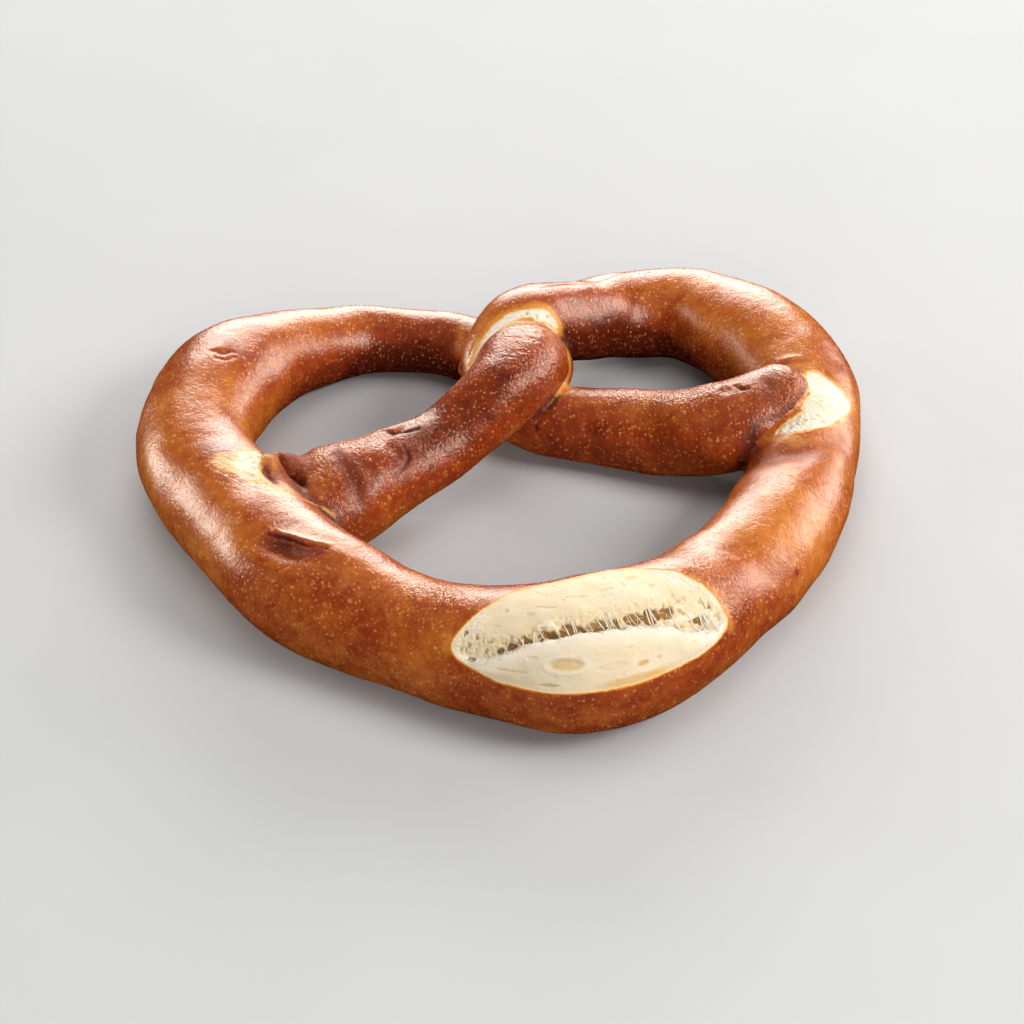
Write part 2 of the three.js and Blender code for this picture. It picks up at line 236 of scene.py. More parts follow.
class Rope:
    """Tables along the middle line of the rope: place, directions of the section and half sizes"""

    STEPS = 40

    def __init__(self):
        spans = len(STATIONS) - 1
        t = np.linspace(0, spans, spans * self.STEPS + 1)
        rows = [(x, y, SEAT * r * half + lift) for _, x, y, half, lift, r in STATIONS]
        points = np.array(rows, float)
        halves = np.array([(half, half * r) for *_, half, _, r in STATIONS], float)
        middle = spline(points, t, True)
        ahead = spline(points, np.minimum(t + 0.5, spans), True)
        behind = spline(points, np.maximum(t - 0.5, 0), True)
        forward = unit(ahead - behind)
        side = unit(np.cross(forward, (0, 0, 1)))
        up = np.cross(side, forward)
        steps = np.linalg.norm(np.diff(middle, axis=0), axis=1)
        self.lengths = np.concatenate([[0], np.cumsum(steps)])
        self.length = self.lengths[-1]
        self.table = np.hstack([middle, forward, side, up, spline(halves, t, False)])
        self.places = {name: self.lengths[i * self.STEPS] for i, (name, *_) in enumerate(STATIONS)}

    def at(self, along):
        """Middle, forward, side, up, half width and half height at distances along the rope"""
        columns = [np.interp(along, self.lengths, column) for column in self.table.T]
        rows = np.stack(columns, axis=-1)
        return rows[..., 0:3], rows[..., 3:6], rows[..., 6:9], rows[..., 9:12], rows[..., 12], rows[..., 13]

    def surface(self, along, clock, height=0.0, share=1.0):
        """Points on the rope, raised by a height; a share under 1 draws them in to the middle"""
        held = np.clip(along, 0, self.length)
        middle, forward, side, up, width, rise = self.at(held)
        angle = np.radians(clock)
        across = (np.cos(angle) * (width + height) * share)[..., None] * side
        upward = (np.sin(angle) * (rise + height) * share)[..., None] * up
        points = middle + across + upward + (along - held)[..., None] * forward
        points[..., 2] = np.maximum(points[..., 2], 0)
        return points

    def coordinates(self, points, low, high):
        """Along, clock and radius of points near the stretch between two distances"""
        along = np.linspace(low, high, int(high - low) + 1)
        middle = self.at(along)[0]
        nearest = np.argmin(((points[:, None, :] - middle[None]) ** 2).sum(-1), axis=1)
        along = along[nearest]
        middle, forward, side, up, _, _ = self.at(along)
        along = along + ((points - middle) * forward).sum(-1)
        middle, forward, side, up, _, _ = self.at(along)
        out = points - middle
        across = (out * side).sum(-1)
        upward = (out * up).sum(-1)
        clock = (np.degrees(np.arctan2(upward, across)) + 90) % 360 - 90
        return along, clock, np.hypot(across, upward)


rope = Rope()


def rope_relief(along, clock):
    """Height of the waves and dents over the plain section"""
    *_, width, rise = rope.at(np.clip(along, 0, rope.length))
    radius = (width + rise) / 2
    height = 0
    for size, length, turns, shift in WAVES:
        height = height + size * np.sin(2 * np.pi * along / length + turns * np.radians(clock) + shift)
    for _, place, angle, long, wide, depth, turn in DENTS:
        a = along - place
        b = np.radians(clock - angle) * radius
        c, s = math.cos(math.radians(turn)), math.sin(math.radians(turn))
        height = height - depth * np.exp(-((a * c + b * s) / long) ** 2 - ((b * c - a * s) / wide) ** 2)
    return height


def lumps(points):
    """Height of the dough's fine unevenness at places in space"""
    x, y, z = points[..., 0], points[..., 1], points[..., 2]
    height = 0
    for seed, (size, length) in enumerate(LUMPS):
        height = height + size * noise(seed, x / length, y / length, z / length)
    return height * smooth(0, 4, z)


# Meshes

def mesh_object(name, points, faces, material=None):
    mesh = bpy.data.meshes.new(name)
    mesh.from_pydata((points * MM).tolist(), [], faces)
    mesh.update()
    mesh.polygons.foreach_set("use_smooth", [True] * len(mesh.polygons))
    if material:
        mesh.materials.append(material)
    piece = bpy.data.objects.new(name, mesh)
    bpy.context.scene.collection.objects.link(piece)
    return piece


def mesh_points(mesh):
    points = np.empty(len(mesh.vertices) * 3)
    mesh.vertices.foreach_get("co", points)
    return points.reshape(-1, 3) / MM


def mesh_normals(mesh):
    normals = np.empty(len(mesh.vertices) * 3)
    mesh.vertices.foreach_get("normal", normals)
    return normals.reshape(-1, 3)


def set_points(mesh, points):
    mesh.vertices.foreach_set("co", (points * MM).ravel())
    mesh.update()


def set_value(mesh, name, values):
    attribute = mesh.attributes.get(name) or mesh.attributes.new(name, "FLOAT", "POINT")
    attribute.data.foreach_set("value", np.asarray(values, np.float32))


def get_value(mesh, name):
    values = np.empty(len(mesh.vertices), np.float32)
    mesh.attributes[name].data.foreach_get("value", values)
    return values.astype(float)


def set_vector(mesh, name, vectors):
    attribute = mesh.attributes.get(name) or mesh.attributes.new(name, "FLOAT_VECTOR", "POINT")
    attribute.data.foreach_set("vector", np.asarray(vectors, np.float32).ravel())


def delete_object(piece):
    mesh = piece.data
    bpy.data.objects.remove(piece)
    bpy.data.meshes.remove(mesh)


def end_reach(station):
    """How far the rounded end of an arm reaches past its station"""
    _, _, _, half, _, roundness = station
    return END_REACH * half * roundness


def rope_run(start, end, pitch, columns):
    """One stretch of the rope as a closed tube, with a rounded or a flat end on each side"""
    low = rope.places[start] if start else 0
    high = rope.places[end] if end else rope.length
    rows = int((high - low) / pitch)
    along = list(np.linspace(low, high, rows + 1))
    share = [1.0] * len(along)
    poles = [low, high]
    angles = np.linspace(0, np.pi / 2, int(END_GIRTH / pitch) + 1)[1:-1]
    if not start:
        reach = end_reach(STATIONS[0])
        poles[0] = low - reach
        along = [low - reach * math.sin(a) for a in reversed(angles)] + along
        share = [math.cos(a) for a in reversed(angles)] + share
    if not end:
        reach = end_reach(STATIONS[-1])
        poles[1] = high + reach
        along = along + [high + reach * math.sin(a) for a in angles]
        share = share + [math.cos(a) for a in angles]
    clock = np.linspace(-90, 270, columns, endpoint=False)
    a, c = np.meshgrid(along, clock, indexing="ij")
    points = rope.surface(a, c, rope_relief(a, c), np.array(share)[:, None])
    caps = rope.surface(np.array(poles), np.array([90.0, 90.0]), 0.0, 0.0)
    points = np.vstack([points.reshape(-1, 3), caps])
    count = len(along)
    faces = []
    for row in range(count - 1):
        for column in range(columns):
            step = (column + 1) % columns
            first = row * columns
            second = first + columns
            faces.append((first + column, second + column, second + step, first + step))
    for column in range(columns):
        step = (column + 1) % columns
        last = (count - 1) * columns
        faces.append((column, step, count * columns))
        faces.append((last + step, last + column, count * columns + 1))
    spots = np.stack([a.ravel(), c.ravel()], axis=1)
    spots = np.vstack([spots, [(poles[0], 90), (poles[1], 90)]])
    return points, faces, spots


def web_shell(middle, half, turn):
    """A web of crumb between an arm and the ring, as a ball drawn out"""
    rings, columns = WEB_RINGS, 2 * WEB_RINGS
    up = np.linspace(-np.pi / 2, np.pi / 2, rings)[1:-1]
    bearing = np.linspace(0, 2 * np.pi, columns, endpoint=False)
    u, b = np.meshgrid(up, bearing, indexing="ij")
    ball = np.stack([np.cos(u) * np.cos(b), np.cos(u) * np.sin(b), np.sin(u)], axis=-1).reshape(-1, 3)
    ball = np.vstack([ball, (0, 0, -1), (0, 0, 1)]) * half
    c, s = math.cos(math.radians(turn)), math.sin(math.radians(turn))
    ball = ball @ np.array(((c, s, 0), (-s, c, 0), (0, 0, 1))) + middle
    faces = []
    count = len(up)
    for row in range(count - 1):
        for column in range(columns):
            step = (column + 1) % columns
            first = row * columns
            second = first + columns
            faces.append((first + column, first + step, second + step, second + column))
    for column in range(columns):
        step = (column + 1) % columns
        faces.append((step, column, count * columns))
        last = (count - 1) * columns
        faces.append((last + column, last + step, count * columns + 1))
    return ball, faces


def joined(parts):
    """One closed mesh from closed meshes that reach into each other"""
    whole = parts[0]
    for other in parts[1:]:
        cut = whole.modifiers.new("join", "BOOLEAN")
        cut.operation = "UNION"
        cut.solver = "MANIFOLD"
        cut.object = other
    evaluated = whole.evaluated_get(bpy.context.evaluated_depsgraph_get())
    mesh = bpy.data.meshes.new_from_object(evaluated)
    for part in parts:
        delete_object(part)
    return mesh


def relaxed(mesh, points, weights, rounds):
    """Points drawn towards the middle of their neighbours, as far as the weights say"""
    edges = np.empty(len(mesh.edges) * 2, np.int64)
    mesh.edges.foreach_get("vertices", edges)
    first, second = edges.reshape(-1, 2).T
    count = np.bincount(first, minlength=len(points)) + np.bincount(second, minlength=len(points))
    busy = np.maximum(count, 1)[:, None]
    for _ in range(rounds):
        total = np.zeros_like(points)
        for axis in range(3):
            total[:, axis] += np.bincount(first, points[second, axis], len(points))
            total[:, axis] += np.bincount(second, points[first, axis], len(points))
        points = points + weights[:, None] * (total / busy - points)
    return points


def line_distance(points, path):
    """Distance from a path of straight pieces, and how far along it, from 0 to 1"""
    path = np.array(path, float)
    best = np.full(len(points), np.inf)
    place = np.zeros(len(points))
    for index, (start, end) in enumerate(zip(path[:-1], path[1:])):
        run = end - start
        share = np.clip((points - start) @ run / (run @ run), 0, 1)
        away = np.linalg.norm(points - start - share[:, None] * run, axis=1)
        closer = away < best
        best = np.where(closer, away, best)
        place = np.where(closer, (index + share) / (len(path) - 1), place)
    return best, place


def tree_of(points):
    tree = KDTree(len(points))
    for index, point in enumerate(points):
        tree.insert(point, index)
    tree.balance()
    return tree


# Faces nearer to a groove than this, in mm, are split, once for each distance
FINE_REACHES = (4.0, 2.4)
# A groove fades in over this share of its path, from each end, and its painted shade reaches a little wider
# than its depth
GROOVE_ENDS = 0.12
SHADE_EDGE = 0.7
# How far from a join the crust is drawn smooth, in mm, and how much farther where it is soft
CREASE_REACH = 1.6
SOFT_REACH = 3.5
# How much a round of smoothing moves a point, and how many rounds there are
RELAX_SHARE = 0.8
RELAX_ROUNDS = 18
# How dark the shade painted along a join of two parts is, and how far from it, in mm
JOIN_SHADE = 0.55
JOIN_REACH = 3.5
# A joined point farther than this from the tubes' own points, in mm, is on a join
OFF_TUBE = 0.02


def refine_near_grooves(mesh):
    """Splits the faces near the grooves, so that the narrow ones come out sharp"""
    solid = bmesh.new()
    solid.from_mesh(mesh)
    for reach in FINE_REACHES:
        solid.verts.index_update()
        points = np.array([vertex.co for vertex in solid.verts]) / MM
        near = np.zeros(len(points), bool)
        for _, path, *_ in GROOVES:
            near |= line_distance(points, path)[0] < reach
        edges = [edge for edge in solid.edges if near[edge.verts[0].index] and near[edge.verts[1].index]]
        bmesh.ops.subdivide_edges(solid, edges=edges, cuts=1, use_grid_fill=True)
        large = [face for face in solid.faces if len(face.verts) > 4]
        bmesh.ops.triangulate(solid, faces=large)
    solid.to_mesh(mesh)
    solid.free()


def pressed_by(points, path, wide):
    """How far a groove presses points in, from 0 to 1"""
    off, place = line_distance(points, path)
    place = np.clip(place, GROOVE_ENDS, 1 - GROOVE_ENDS)
    return np.exp(-(off / wide) ** 2) * np.sin(np.pi * place) ** 0.5


def creases(points):
    """How dark the shade painted into the grooves makes points"""
    flat = points.reshape(-1, 3)
    crease = np.zeros(len(flat))
    for _, path, wide, _, dark in GROOVES:
        crease = np.maximum(crease, dark * pressed_by(flat, path, wide) ** SHADE_EDGE)
    return crease.reshape(points.shape[:-1])


def soft_reach(points):
    """How far from a join the crust is drawn smooth at points, in mm"""
    reach = np.full(len(points), CREASE_REACH)
    for _, middle, radius in SOFT:
        near = np.linalg.norm(points - middle, axis=1)
        reach = np.maximum(reach, CREASE_REACH + SOFT_REACH * smooth(radius, radius / 2, near))
    return reach


def rope_parts():
    """The rope's tubes and webs, with the points of the tubes and their places on the rope"""
    pitch = bpy.context.scene.pretzel_crust.pitch * 1
    parts, points, spots = [], [], []
    for index, (start, end) in enumerate(RUNS):
        run, faces, places = rope_run(start, end, pitch, int(GIRTH / pitch))
        parts.append(mesh_object("run%d" % index, run, faces))
        points.append(run)
        spots.append(places)
    for name, middle, half, turn in WEBS:
        parts.append(mesh_object(name, *web_shell(middle, half, turn)))
    return parts, np.vstack(points), np.vstack(spots)


def distances(tree, points):
    return np.array([tree.find(p)[2] for p in points])


def whole_crust():
    """The rope with its crossings joined, creases softened, and each point's place on the rope"""
    parts, points, spots = rope_parts()
    mesh = joined(parts)
    tree = tree_of(points)
    places = mesh_points(mesh)
    joins = tree_of(places[distances(tree, places) > OFF_TUBE])
    reach = soft_reach(places)
    loose = 1 - smooth(0.2 * reach, reach, distances(joins, places))
    set_points(mesh, relaxed(mesh, places, RELAX_SHARE * loose, RELAX_ROUNDS))
    refine_near_grooves(mesh)
    places = mesh_points(mesh)
    spot = spots[[tree.find(p)[1] for p in places]]
    away = distances(joins, places)
    # Painted shade: the crust is darkened near the joins of its parts and in the grooves, where shade falls
    crease = JOIN_SHADE * (1 - smooth(0, JOIN_REACH, away)) * smooth(4, 2, soft_reach(places))
    normals = mesh_normals(mesh)
    places = places + normals * lumps(places)[:, None]
    for _, path, wide, depth, dark in GROOVES:
        pressed = pressed_by(places, path, wide)
        places = places - normals * (depth * pressed)[:, None]
        crease = np.maximum(crease, dark * pressed ** SHADE_EDGE)
    places[:, 2] = np.maximum(places[:, 2], 0)
    set_points(mesh, places)
    set_value(mesh, "along", spot[:, 0])
    set_value(mesh, "clock", spot[:, 1])
    set_value(mesh, "crease", crease)
    return mesh


# Colour of the crust: how dark it is baked, from 0 (golden) to 1 (chestnut), and more where it is thin; some
# places add painted shade
BAKED = 0.42
THIN_BAKED = 0.1
# Blotches: seed, amount and size in mm
BLOTCHES = ((21, 0.15, 17), (22, 0.09, 6))
# Darker or lighter places, among them painted shade inside the loops and in the left front fold: name, along,
# clock, half sizes along and round, and amount
BAKE_AND_SHADE = (
    ("left arm", 30, 95, 26, 12, 0.1),
    ("left arm side", 30, 40, 34, 8, 0.35),
    ("left over", 62, 95, 20, 12, 0.05),
    ("right arm", 600, 80, 30, 12, 0.03),
    ("right arm side", 600, 20, 34, 7, 0.32),
    # Painted shade on the loops' inner flanks, where little light falls
    ("shade inside the left loop", 125, 205, 34, 10, 0.75),
    ("shade inside the right loop", 515, 205, 34, 10, 1),
    # Painted shade in the fold under its lip
    ("fold in the left front", 261, 68, 6, 2, 0.2),
    ("blotch in the left front", 277, 45, 16, 10, 0.2),
    ("belly flank", 325, 5, 40, 9, 0.16),
    ("left neck top", 285, 105, 12, 8, -0.15),
    ("left side inside", 213, 168, 26, 7, -0.18),
    ("dark spot on the left", 221, 94, 4, 3, 0.35),
    ("blotch on the left", 188, 64, 8, 6, 0.2),
    ("dark spot on the right", 446.4, 49, 1.6, 1.4, 0.3),
    ("dark spot on the hip", 379.3, 22, 0.7, 0.7, 0.6),
    ("right front", 380, 60, 18, 14, -0.1),
    ("right hip", 398, 60, 16, 12, -0.08),
    ("right side", 425, 40, 14, 12, -0.1),
    ("right shoulder", 470, 60, 22, 12, -0.15),
    ("left side", 205, 40, 30, 12, -0.12),
    ("twist top", 552, 80, 10, 8, -0.14),
)


def bake_and_shade_of(along, clock, points):
    *_, width, rise = rope.at(np.clip(along, 0, rope.length))
    x, y, z = (points[..., k] for k in range(3))
    bake = BAKED + THIN_BAKED * smooth(13, 8, width)
    for seed, amount, size in BLOTCHES:
        bake = bake + amount * noise(seed, x / size, y / size, z / size)
    radius = (width + rise) / 2
    for _, place, angle, long, wide, amount in BAKE_AND_SHADE:
        b = np.radians(clock - angle) * radius
        bake = bake + amount * np.exp(-((along - place) / long) ** 2 - (b / wide) ** 2)
    return np.clip(bake, 0, 1)


# Wrinkled skin: name, along, clock, half sizes along and round, and amount
WRINKLES = (
    ("left arm top", 17, 105, 16, 7, 1),
    ("left arm fan", 10, 75, 6, 8, 1),
    ("left arm waist", 30, 70, 9, 6, 0.8),
    ("left over", 63, 60, 9, 7, 0.8),
    ("twist top", 70, 100, 6, 5, 0.7),
    ("right arm top", 612, 100, 22, 6, 1),
    ("right arm tip", 636, 60, 7, 9, 1),
    ("neck over the belly", 296, 95, 9, 6, 0.9),
    ("right of the belly", 358, 60, 6, 9, 0.9),
    ("right back", 470, 170, 26, 5, 0.5),
    ("left arm side", 18, 40, 18, 6, 0.4),
)


def wrinkle_of(along, clock):
    *_, width, rise = rope.at(np.clip(along, 0, rope.length))
    radius = (width + rise) / 2
    amount = np.zeros_like(along)
    for _, place, angle, long, wide, size in WRINKLES:
        b = np.radians(clock - angle) * radius
        amount = np.maximum(amount, size * np.exp(-((along - place) / long) ** 2 - (b / wide) ** 2))
    return amount


def straight(along, clock, radius):
    """Places on the rope as if it were straight, in metres, for patterns that follow it"""
    angle = np.radians(clock)
    return np.stack([along, radius * np.cos(angle), radius * np.sin(angle)], axis=-1) * MM


# Charts: flat maps of a piece of the surface, in millimetres
FAR_OFF = 1e3


class BeltChart:
    """Map of a stretch of the rope: x runs along it and y round it"""

    FALL = 0.22
    REACH = 40
    NEAR = 60

    def __init__(self, along, clock, radius):
        self.along = along
        self.clock = clock
        self.scale = radius * math.pi / 180

    def lift(self, x, y):
        along, clock = self.spots(x, y)
        points = rope.surface(along, clock, rope_relief(along, clock))
        return points + grid_normals(points) * lumps(points)[..., None]

    def spots(self, x, y, points=None):
        """Places on the rope, along and clock, of places on the chart"""
        return self.along + x, self.clock + y / self.scale

    def root(self):
        return rope.at(np.array(float(self.along)))[0]

    def inward(self, normals):
        return -normals

    def project(self, points):
        """Places of points on the chart, far off it where they aren't near, and which are near"""
        near = np.linalg.norm(points - self.root(), axis=1) < self.NEAR
        x = np.full(len(points), FAR_OFF)
        y = np.full(len(points), FAR_OFF)
        low, high = self.along - self.REACH, self.along + self.REACH
        along, clock, _ = rope.coordinates(points[near], low, high)
        x[near] = along - self.along
        y[near] = (clock - self.clock) * self.scale
        return x, y, near


class FlatChart:
    """Map of a small place seen from one side: x runs to the right and y to the back"""

    FALL = 0.45
    REACH = 30.0
    DEEPEST = -6
    ROOT_DEPTH = 8
    NEAR = 3.5

    def __init__(self, middle, out, low, high, blur):
        self.middle = np.array(middle, float)
        self.out = unit(np.array(out, float))
        self.right = unit(np.cross((0, 1, 0), self.out))
        self.ahead = np.cross(self.out, self.right)
        self.low = low
        self.high = high
        self.blur = blur

    def lift(self, x, y):
        crust = bpy.data.objects["crust"]
        tree = BVHTree.FromObject(crust, bpy.context.evaluated_depsgraph_get())
        flat = self.middle + x[..., None] * self.right + y[..., None] * self.ahead
        height = np.full(x.shape, -self.REACH)
        down = Vector(-self.out)
        for spot in np.ndindex(x.shape):
            hit = tree.ray_cast(Vector((flat[spot] + self.REACH * self.out) * MM), down)
            if hit[0]:
                height[spot] = self.REACH - hit[3] / MM
        height = np.maximum(height, self.DEEPEST)
        step = x[0, 1] - x[0, 0]
        height = blurred(height, self.blur / step)
        self.grid = (x[0, 0], y[0, 0], step, height)
        return flat + height[..., None] * self.out

    def spots(self, x, y, points):
        along, clock, _ = rope.coordinates(points.reshape(-1, 3), self.low, self.high)
        return along.reshape(x.shape), clock.reshape(x.shape)

    def root(self):
        return self.middle - self.ROOT_DEPTH * self.out

    def inward(self, normals):
        return np.broadcast_to(-self.out, normals.shape)

    def project(self, points):
        away = points - self.middle
        x, y, depth = away @ self.right, away @ self.ahead, away @ self.out
        left, front, step, height = self.grid
        column = np.clip(np.round((x - left) / step).astype(int), 0, height.shape[1] - 1)
        row = np.clip(np.round((y - front) / step).astype(int), 0, height.shape[0] - 1)
        return x, y, np.abs(depth - height[row, column]) < self.NEAR


def grid_normals(points):
    across = np.gradient(points, axis=1)
    upward = np.gradient(points, axis=0)
    return unit(np.cross(across, upward))


def blurred(grid, cells):
    """Grid smoothed by a bell curve as wide as the number of cells"""
    reach = int(3 * cells)
    bell = np.exp(-0.5 * (np.arange(-reach, reach + 1) / cells) ** 2)
    bell /= bell.sum()
    for axis in (0, 1):
        padding = [(reach, reach) if k == axis else (0, 0) for k in range(grid.ndim)]
        padded = np.pad(grid, padding, mode="edge")
        grid = np.apply_along_axis(lambda row: np.convolve(row, bell, "valid"), axis, padded)
    return grid


def closed_outline(corners, steps=10):
    """Smooth closed curve through a few corners"""
    corners = np.array(corners, float)
    ring = np.vstack([corners[-2:], corners, corners[:3]])
    t = np.arange(2, 2 + len(corners), 1 / steps)
    return spline(ring, t, True)


def outline_distance(x, y, outline):
    """Distance from an outline, positive inside it"""
    best = np.full(x.shape, np.inf)
    inside = np.zeros(x.shape, bool)
    for (ax, ay), (bx, by) in zip(outline, np.roll(outline, -1, axis=0)):
        dx, dy = bx - ax, by - ay
        share = np.clip(((x - ax) * dx + (y - ay) * dy) / (dx * dx + dy * dy), 0, 1)
        best = np.minimum(best, (x - ax - share * dx) ** 2 + (y - ay - share * dy) ** 2)
        if dy != 0:
            inside ^= ((ay > y) != (by > y)) & (x < ax + dx * (y - ay) / dy)
    return np.where(inside, 1, -1) * np.sqrt(best)


# A piece of torn crumb laps past its outline, in mm: it lies a little over the crust as far as the
# flat part goes, and then falls under it. The crust is lowered a little just outside the outline
LAP = 2.8
LAP_RISE = 0.015
LAP_FLAT = 0.8
SINK_LEAD = 0.1
# The band along the outline, in mm, whose points the golden edge is measured from
RIM_BAND = 0.3
# What the crumb's material reads at each point
CRUMB_VALUES = ("rim", "hollow", "torn", "pore", "gold", "bake", "wrinkle", "warm", "crease", "straight")


def chart_grid(corners, step):
    """Grid over a closed outline, with its lap, and the distance inside the outline"""
    outline = closed_outline(corners)
    low = outline.min(axis=0) - LAP - step
    high = outline.max(axis=0) + LAP + step
    x, y = np.meshgrid(np.arange(low[0], high[0], step), np.arange(low[1], high[1], step))
    return x, y, outline_distance(x, y, outline), outline


def glow(points, away, reach, amount):
    """How golden the crust is near the edge of a tear"""
    x, y, z = points[..., 0], points[..., 1], points[..., 2]
    uneven = 0.5 * noise(61, x / 4, y / 4, z / 4) + 0.25 * noise(62, x / 1.1, y / 1.1, z / 1.1)
    reach = reach * (1 + uneven)
    return amount * np.exp(-(np.maximum(away, 0) / reach) ** 2)


def plug(name, chart, grid, height, values, halo, depth):
    """A closed piece of torn crumb laid over the crust: its face is raised by a height inside the
    outline, goes just under the crust outside it, and its back is drawn together below. The halo
    is how far the crust is golden round it, in mm, and how much"""
    x, y, off, outline = grid
    base = chart.lift(x, y)
    lap = LAP_RISE - chart.FALL * np.clip((-off - LAP_FLAT) / (LAP - LAP_FLAT), 0, 1) ** 3
    points = base + grid_normals(base) * (height + lap)[..., None]
    along, clock = chart.spots(x, y, base)
    *_, width, rise = rope.at(np.clip(along, 0, rope.length))
    reach, amount = (np.broadcast_to(value, off.shape) for value in halo)
    values = dict(values)
    values["bake"] = bake_and_shade_of(along, clock, base)
    values["wrinkle"] = wrinkle_of(along, clock)
    values["warm"] = np.maximum(glow(base, -values["rim"], reach, amount), seams(base))
    values["crease"] = creases(base)
    values["straight"] = straight(along, clock, (width + rise) / 2)
    rows, columns = off.shape
    keep = off > -LAP
    ids = np.arange(rows * columns).reshape(rows, columns)
    quads = np.stack([ids[:-1, :-1], ids[:-1, 1:], ids[1:, 1:], ids[1:, :-1]], axis=-1).reshape(-1, 4)
    quads = quads[keep.ravel()[quads].all(axis=1)]
    edges = np.vstack([quads[:, [k, (k + 1) % 4]] for k in range(4)])
    known = set(map(tuple, edges.tolist()))
    border = sorted((a, b) for a, b in known if (b, a) not in known)
    used = np.unique(quads)
    new = np.full(rows * columns, -1)
    new[used] = np.arange(len(used))
    faces = new[quads].tolist() + [(int(new[b]), int(new[a]), len(used)) for a, b in border]
    places = np.vstack([points.reshape(-1, 3)[used], chart.root()])
    piece = mesh_object(name, places, faces, crumb_material())
    for key in CRUMB_VALUES:
        flat = values.get(key, np.zeros_like(off)).reshape(rows * columns, -1)[used]
        flat = np.vstack([flat, flat[:1]])
        if flat.shape[1] == 1:
            set_value(piece.data, key, flat[:, 0])
        else:
            set_vector(piece.data, key, flat)
    sink_crust(chart, outline, depth)
    rim = np.abs(values["rim"]) < RIM_BAND
    warm_crust(base[rim], reach[rim], amount[rim])
    return piece, points


def sink_crust(chart, outline, depth):
    """Lowers the crust under a plug, so that only the plug shows there"""
    mesh = bpy.data.objects["crust"].data
    points = mesh_points(mesh)
    x, y, near = chart.project(points)
    off = outline_distance(x, y, outline)
    drop = (depth * smooth(-0.6, 0.6, off) + SINK_LEAD * smooth(-1.4, -0.5, off)) * near
    set_points(mesh, points + chart.inward(mesh_normals(mesh)) * drop[:, None])
    set_value(mesh, "sunk", np.maximum(get_value(mesh, "sunk"), drop))


def warm_crust(rim_points, reach, amount):
    """Colours the crust golden where it was stretched, near the edge of a tear"""
    mesh = bpy.data.objects["crust"].data
    points = mesh_points(mesh)
    tree = tree_of(rim_points)
    near = [tree.find(p) for p in points]
    index = np.array([n[1] for n in near])
    away = np.array([n[2] for n in near])
    warm = glow(points, away, reach[index], amount[index])
    set_value(mesh, "warm", np.maximum(get_value(mesh, "warm"), warm))


# Golden seams of the crust where it was pulled: name, path, reach and amount
SEAMS = (
    ("knot edge", ((18.3, 39, 22), (18.2, 35.6, 20.2), (18, 34.9, 17.5), (16.5, 32.3, 16.8),
                   (14.8, 29.8, 17)), 2.2, 0.6),
    ("knot corner", ((15.8, 31.5, 17.2), (14.6, 30.2, 17.4), (15.6, 28.4, 16.8)), 1.9, 0.85),
    ("left flank of the knot", ((-4.6, 62, 15), (-5.3, 58.5, 14), (-5.8, 56, 12)), 1.8, 0.4),
    ("curl of the knot", ((-4, 44, 23), (-5.7, 44.5, 21.3), (-7.1, 43.9, 18.1)), 1.5, 0.3),
    ("left arm edge", ((-54, -7, 23.8), (-51.4, -9.6, 22.8), (-49.1, -8.6, 20.7), (-47, -9, 19.4),
                       (-44.8, -9.7, 18.3), (-42.7, -10.5, 16.9)), 0.45, 0.7),
    ("left arm flap", ((-54, 8, 24.2), (-54.5, 3, 24), (-53.5, -2, 23), (-52, -6, 22)), 1.8, 0.55),
    ("under the right tear", ((60, -0.5, 20), (64, -3.5, 21.8), (68.5, -3.5, 22), (73, -1, 21.2),
                              (77, 3, 19.3)), 2.2, 0.42),
    ("right of the belly", ((30.5, -54.6, 27.2), (33, -57.4, 25.9), (35.2, -59.6, 23.8), (37, -61.4, 21),
                            (37.4, -62.8, 18.6)), 1.5, 0.5),
    ("left of the belly", ((-23.2, -61.6, 22), (-24.4, -62.8, 20.2)), 1.2, 0.4),
    ("above the right tear", ((66, 24, 22), (70, 24, 22.8), (74, 23, 22.6)), 1.6, 0.45),
)


def seams(points):
    """How golden the crust is near the seams"""
    flat = points.reshape(-1, 3)
    warm = np.zeros(len(flat))
    for _, path, reach, amount in SEAMS:
        warm = np.maximum(warm, glow(flat, line_distance(flat, path)[0], reach, amount))
    return warm.reshape(points.shape[:-1])


def bumps(x, y, rows, edge=0.35):
    """Oval marks from rows of x, y, half sizes and depth"""
    total = np.zeros_like(x)
    for px, py, long, wide, depth in rows:
        far = ((x - px) / long) ** 2 + ((y - py) / wide) ** 2
        total = total + depth * smooth(1.15, edge, far)
    return total


def scattered(seed, count, low, high, sizes, depths):
    """Random oval marks inside a box: rows of x, y, half sizes and depth"""
    draw = np.random.default_rng(seed)
    rows = []
    for _ in range(count):
        px, py = draw.uniform(low, high)
        long = draw.uniform(*sizes)
        rows.append((px, py, long, long * draw.uniform(0.4, 0.9), draw.uniform(*depths)))
    return rows


def crests(x, y, thin):
    """Thin raised membranes where smooth noise changes sign"""
    coarse = smooth(thin, 0, np.abs(noise(71, x, y)))
    return coarse + 0.3 * smooth(thin, 0, np.abs(noise(72, x * 1.6, y * 1.5)))


# The burst in the belly, on a chart with x along the rope and y round it
BELLY = BeltChart(329, 68, 17)
HALF_BURST = 25.5
BELLY_DEPTH = 7
LINE_STEPS = 300
BELLY_RIM = (
    (-24.9, -7.3), (-23.4, -3), (-20.4, 2.4), (-15.7, 8.9), (-9, 13.4), (0, 16), (9.6, 16.6),
    (16.8, 13.1), (21, 8.3), (23.4, 2.1), (24.6, -4.7), (24.2, -11), (20.8, -13.5), (14.6, -15),
    (2.5, -15.8), (-10.4, -15.3), (-17.4, -13.4), (-23, -10.4),
)
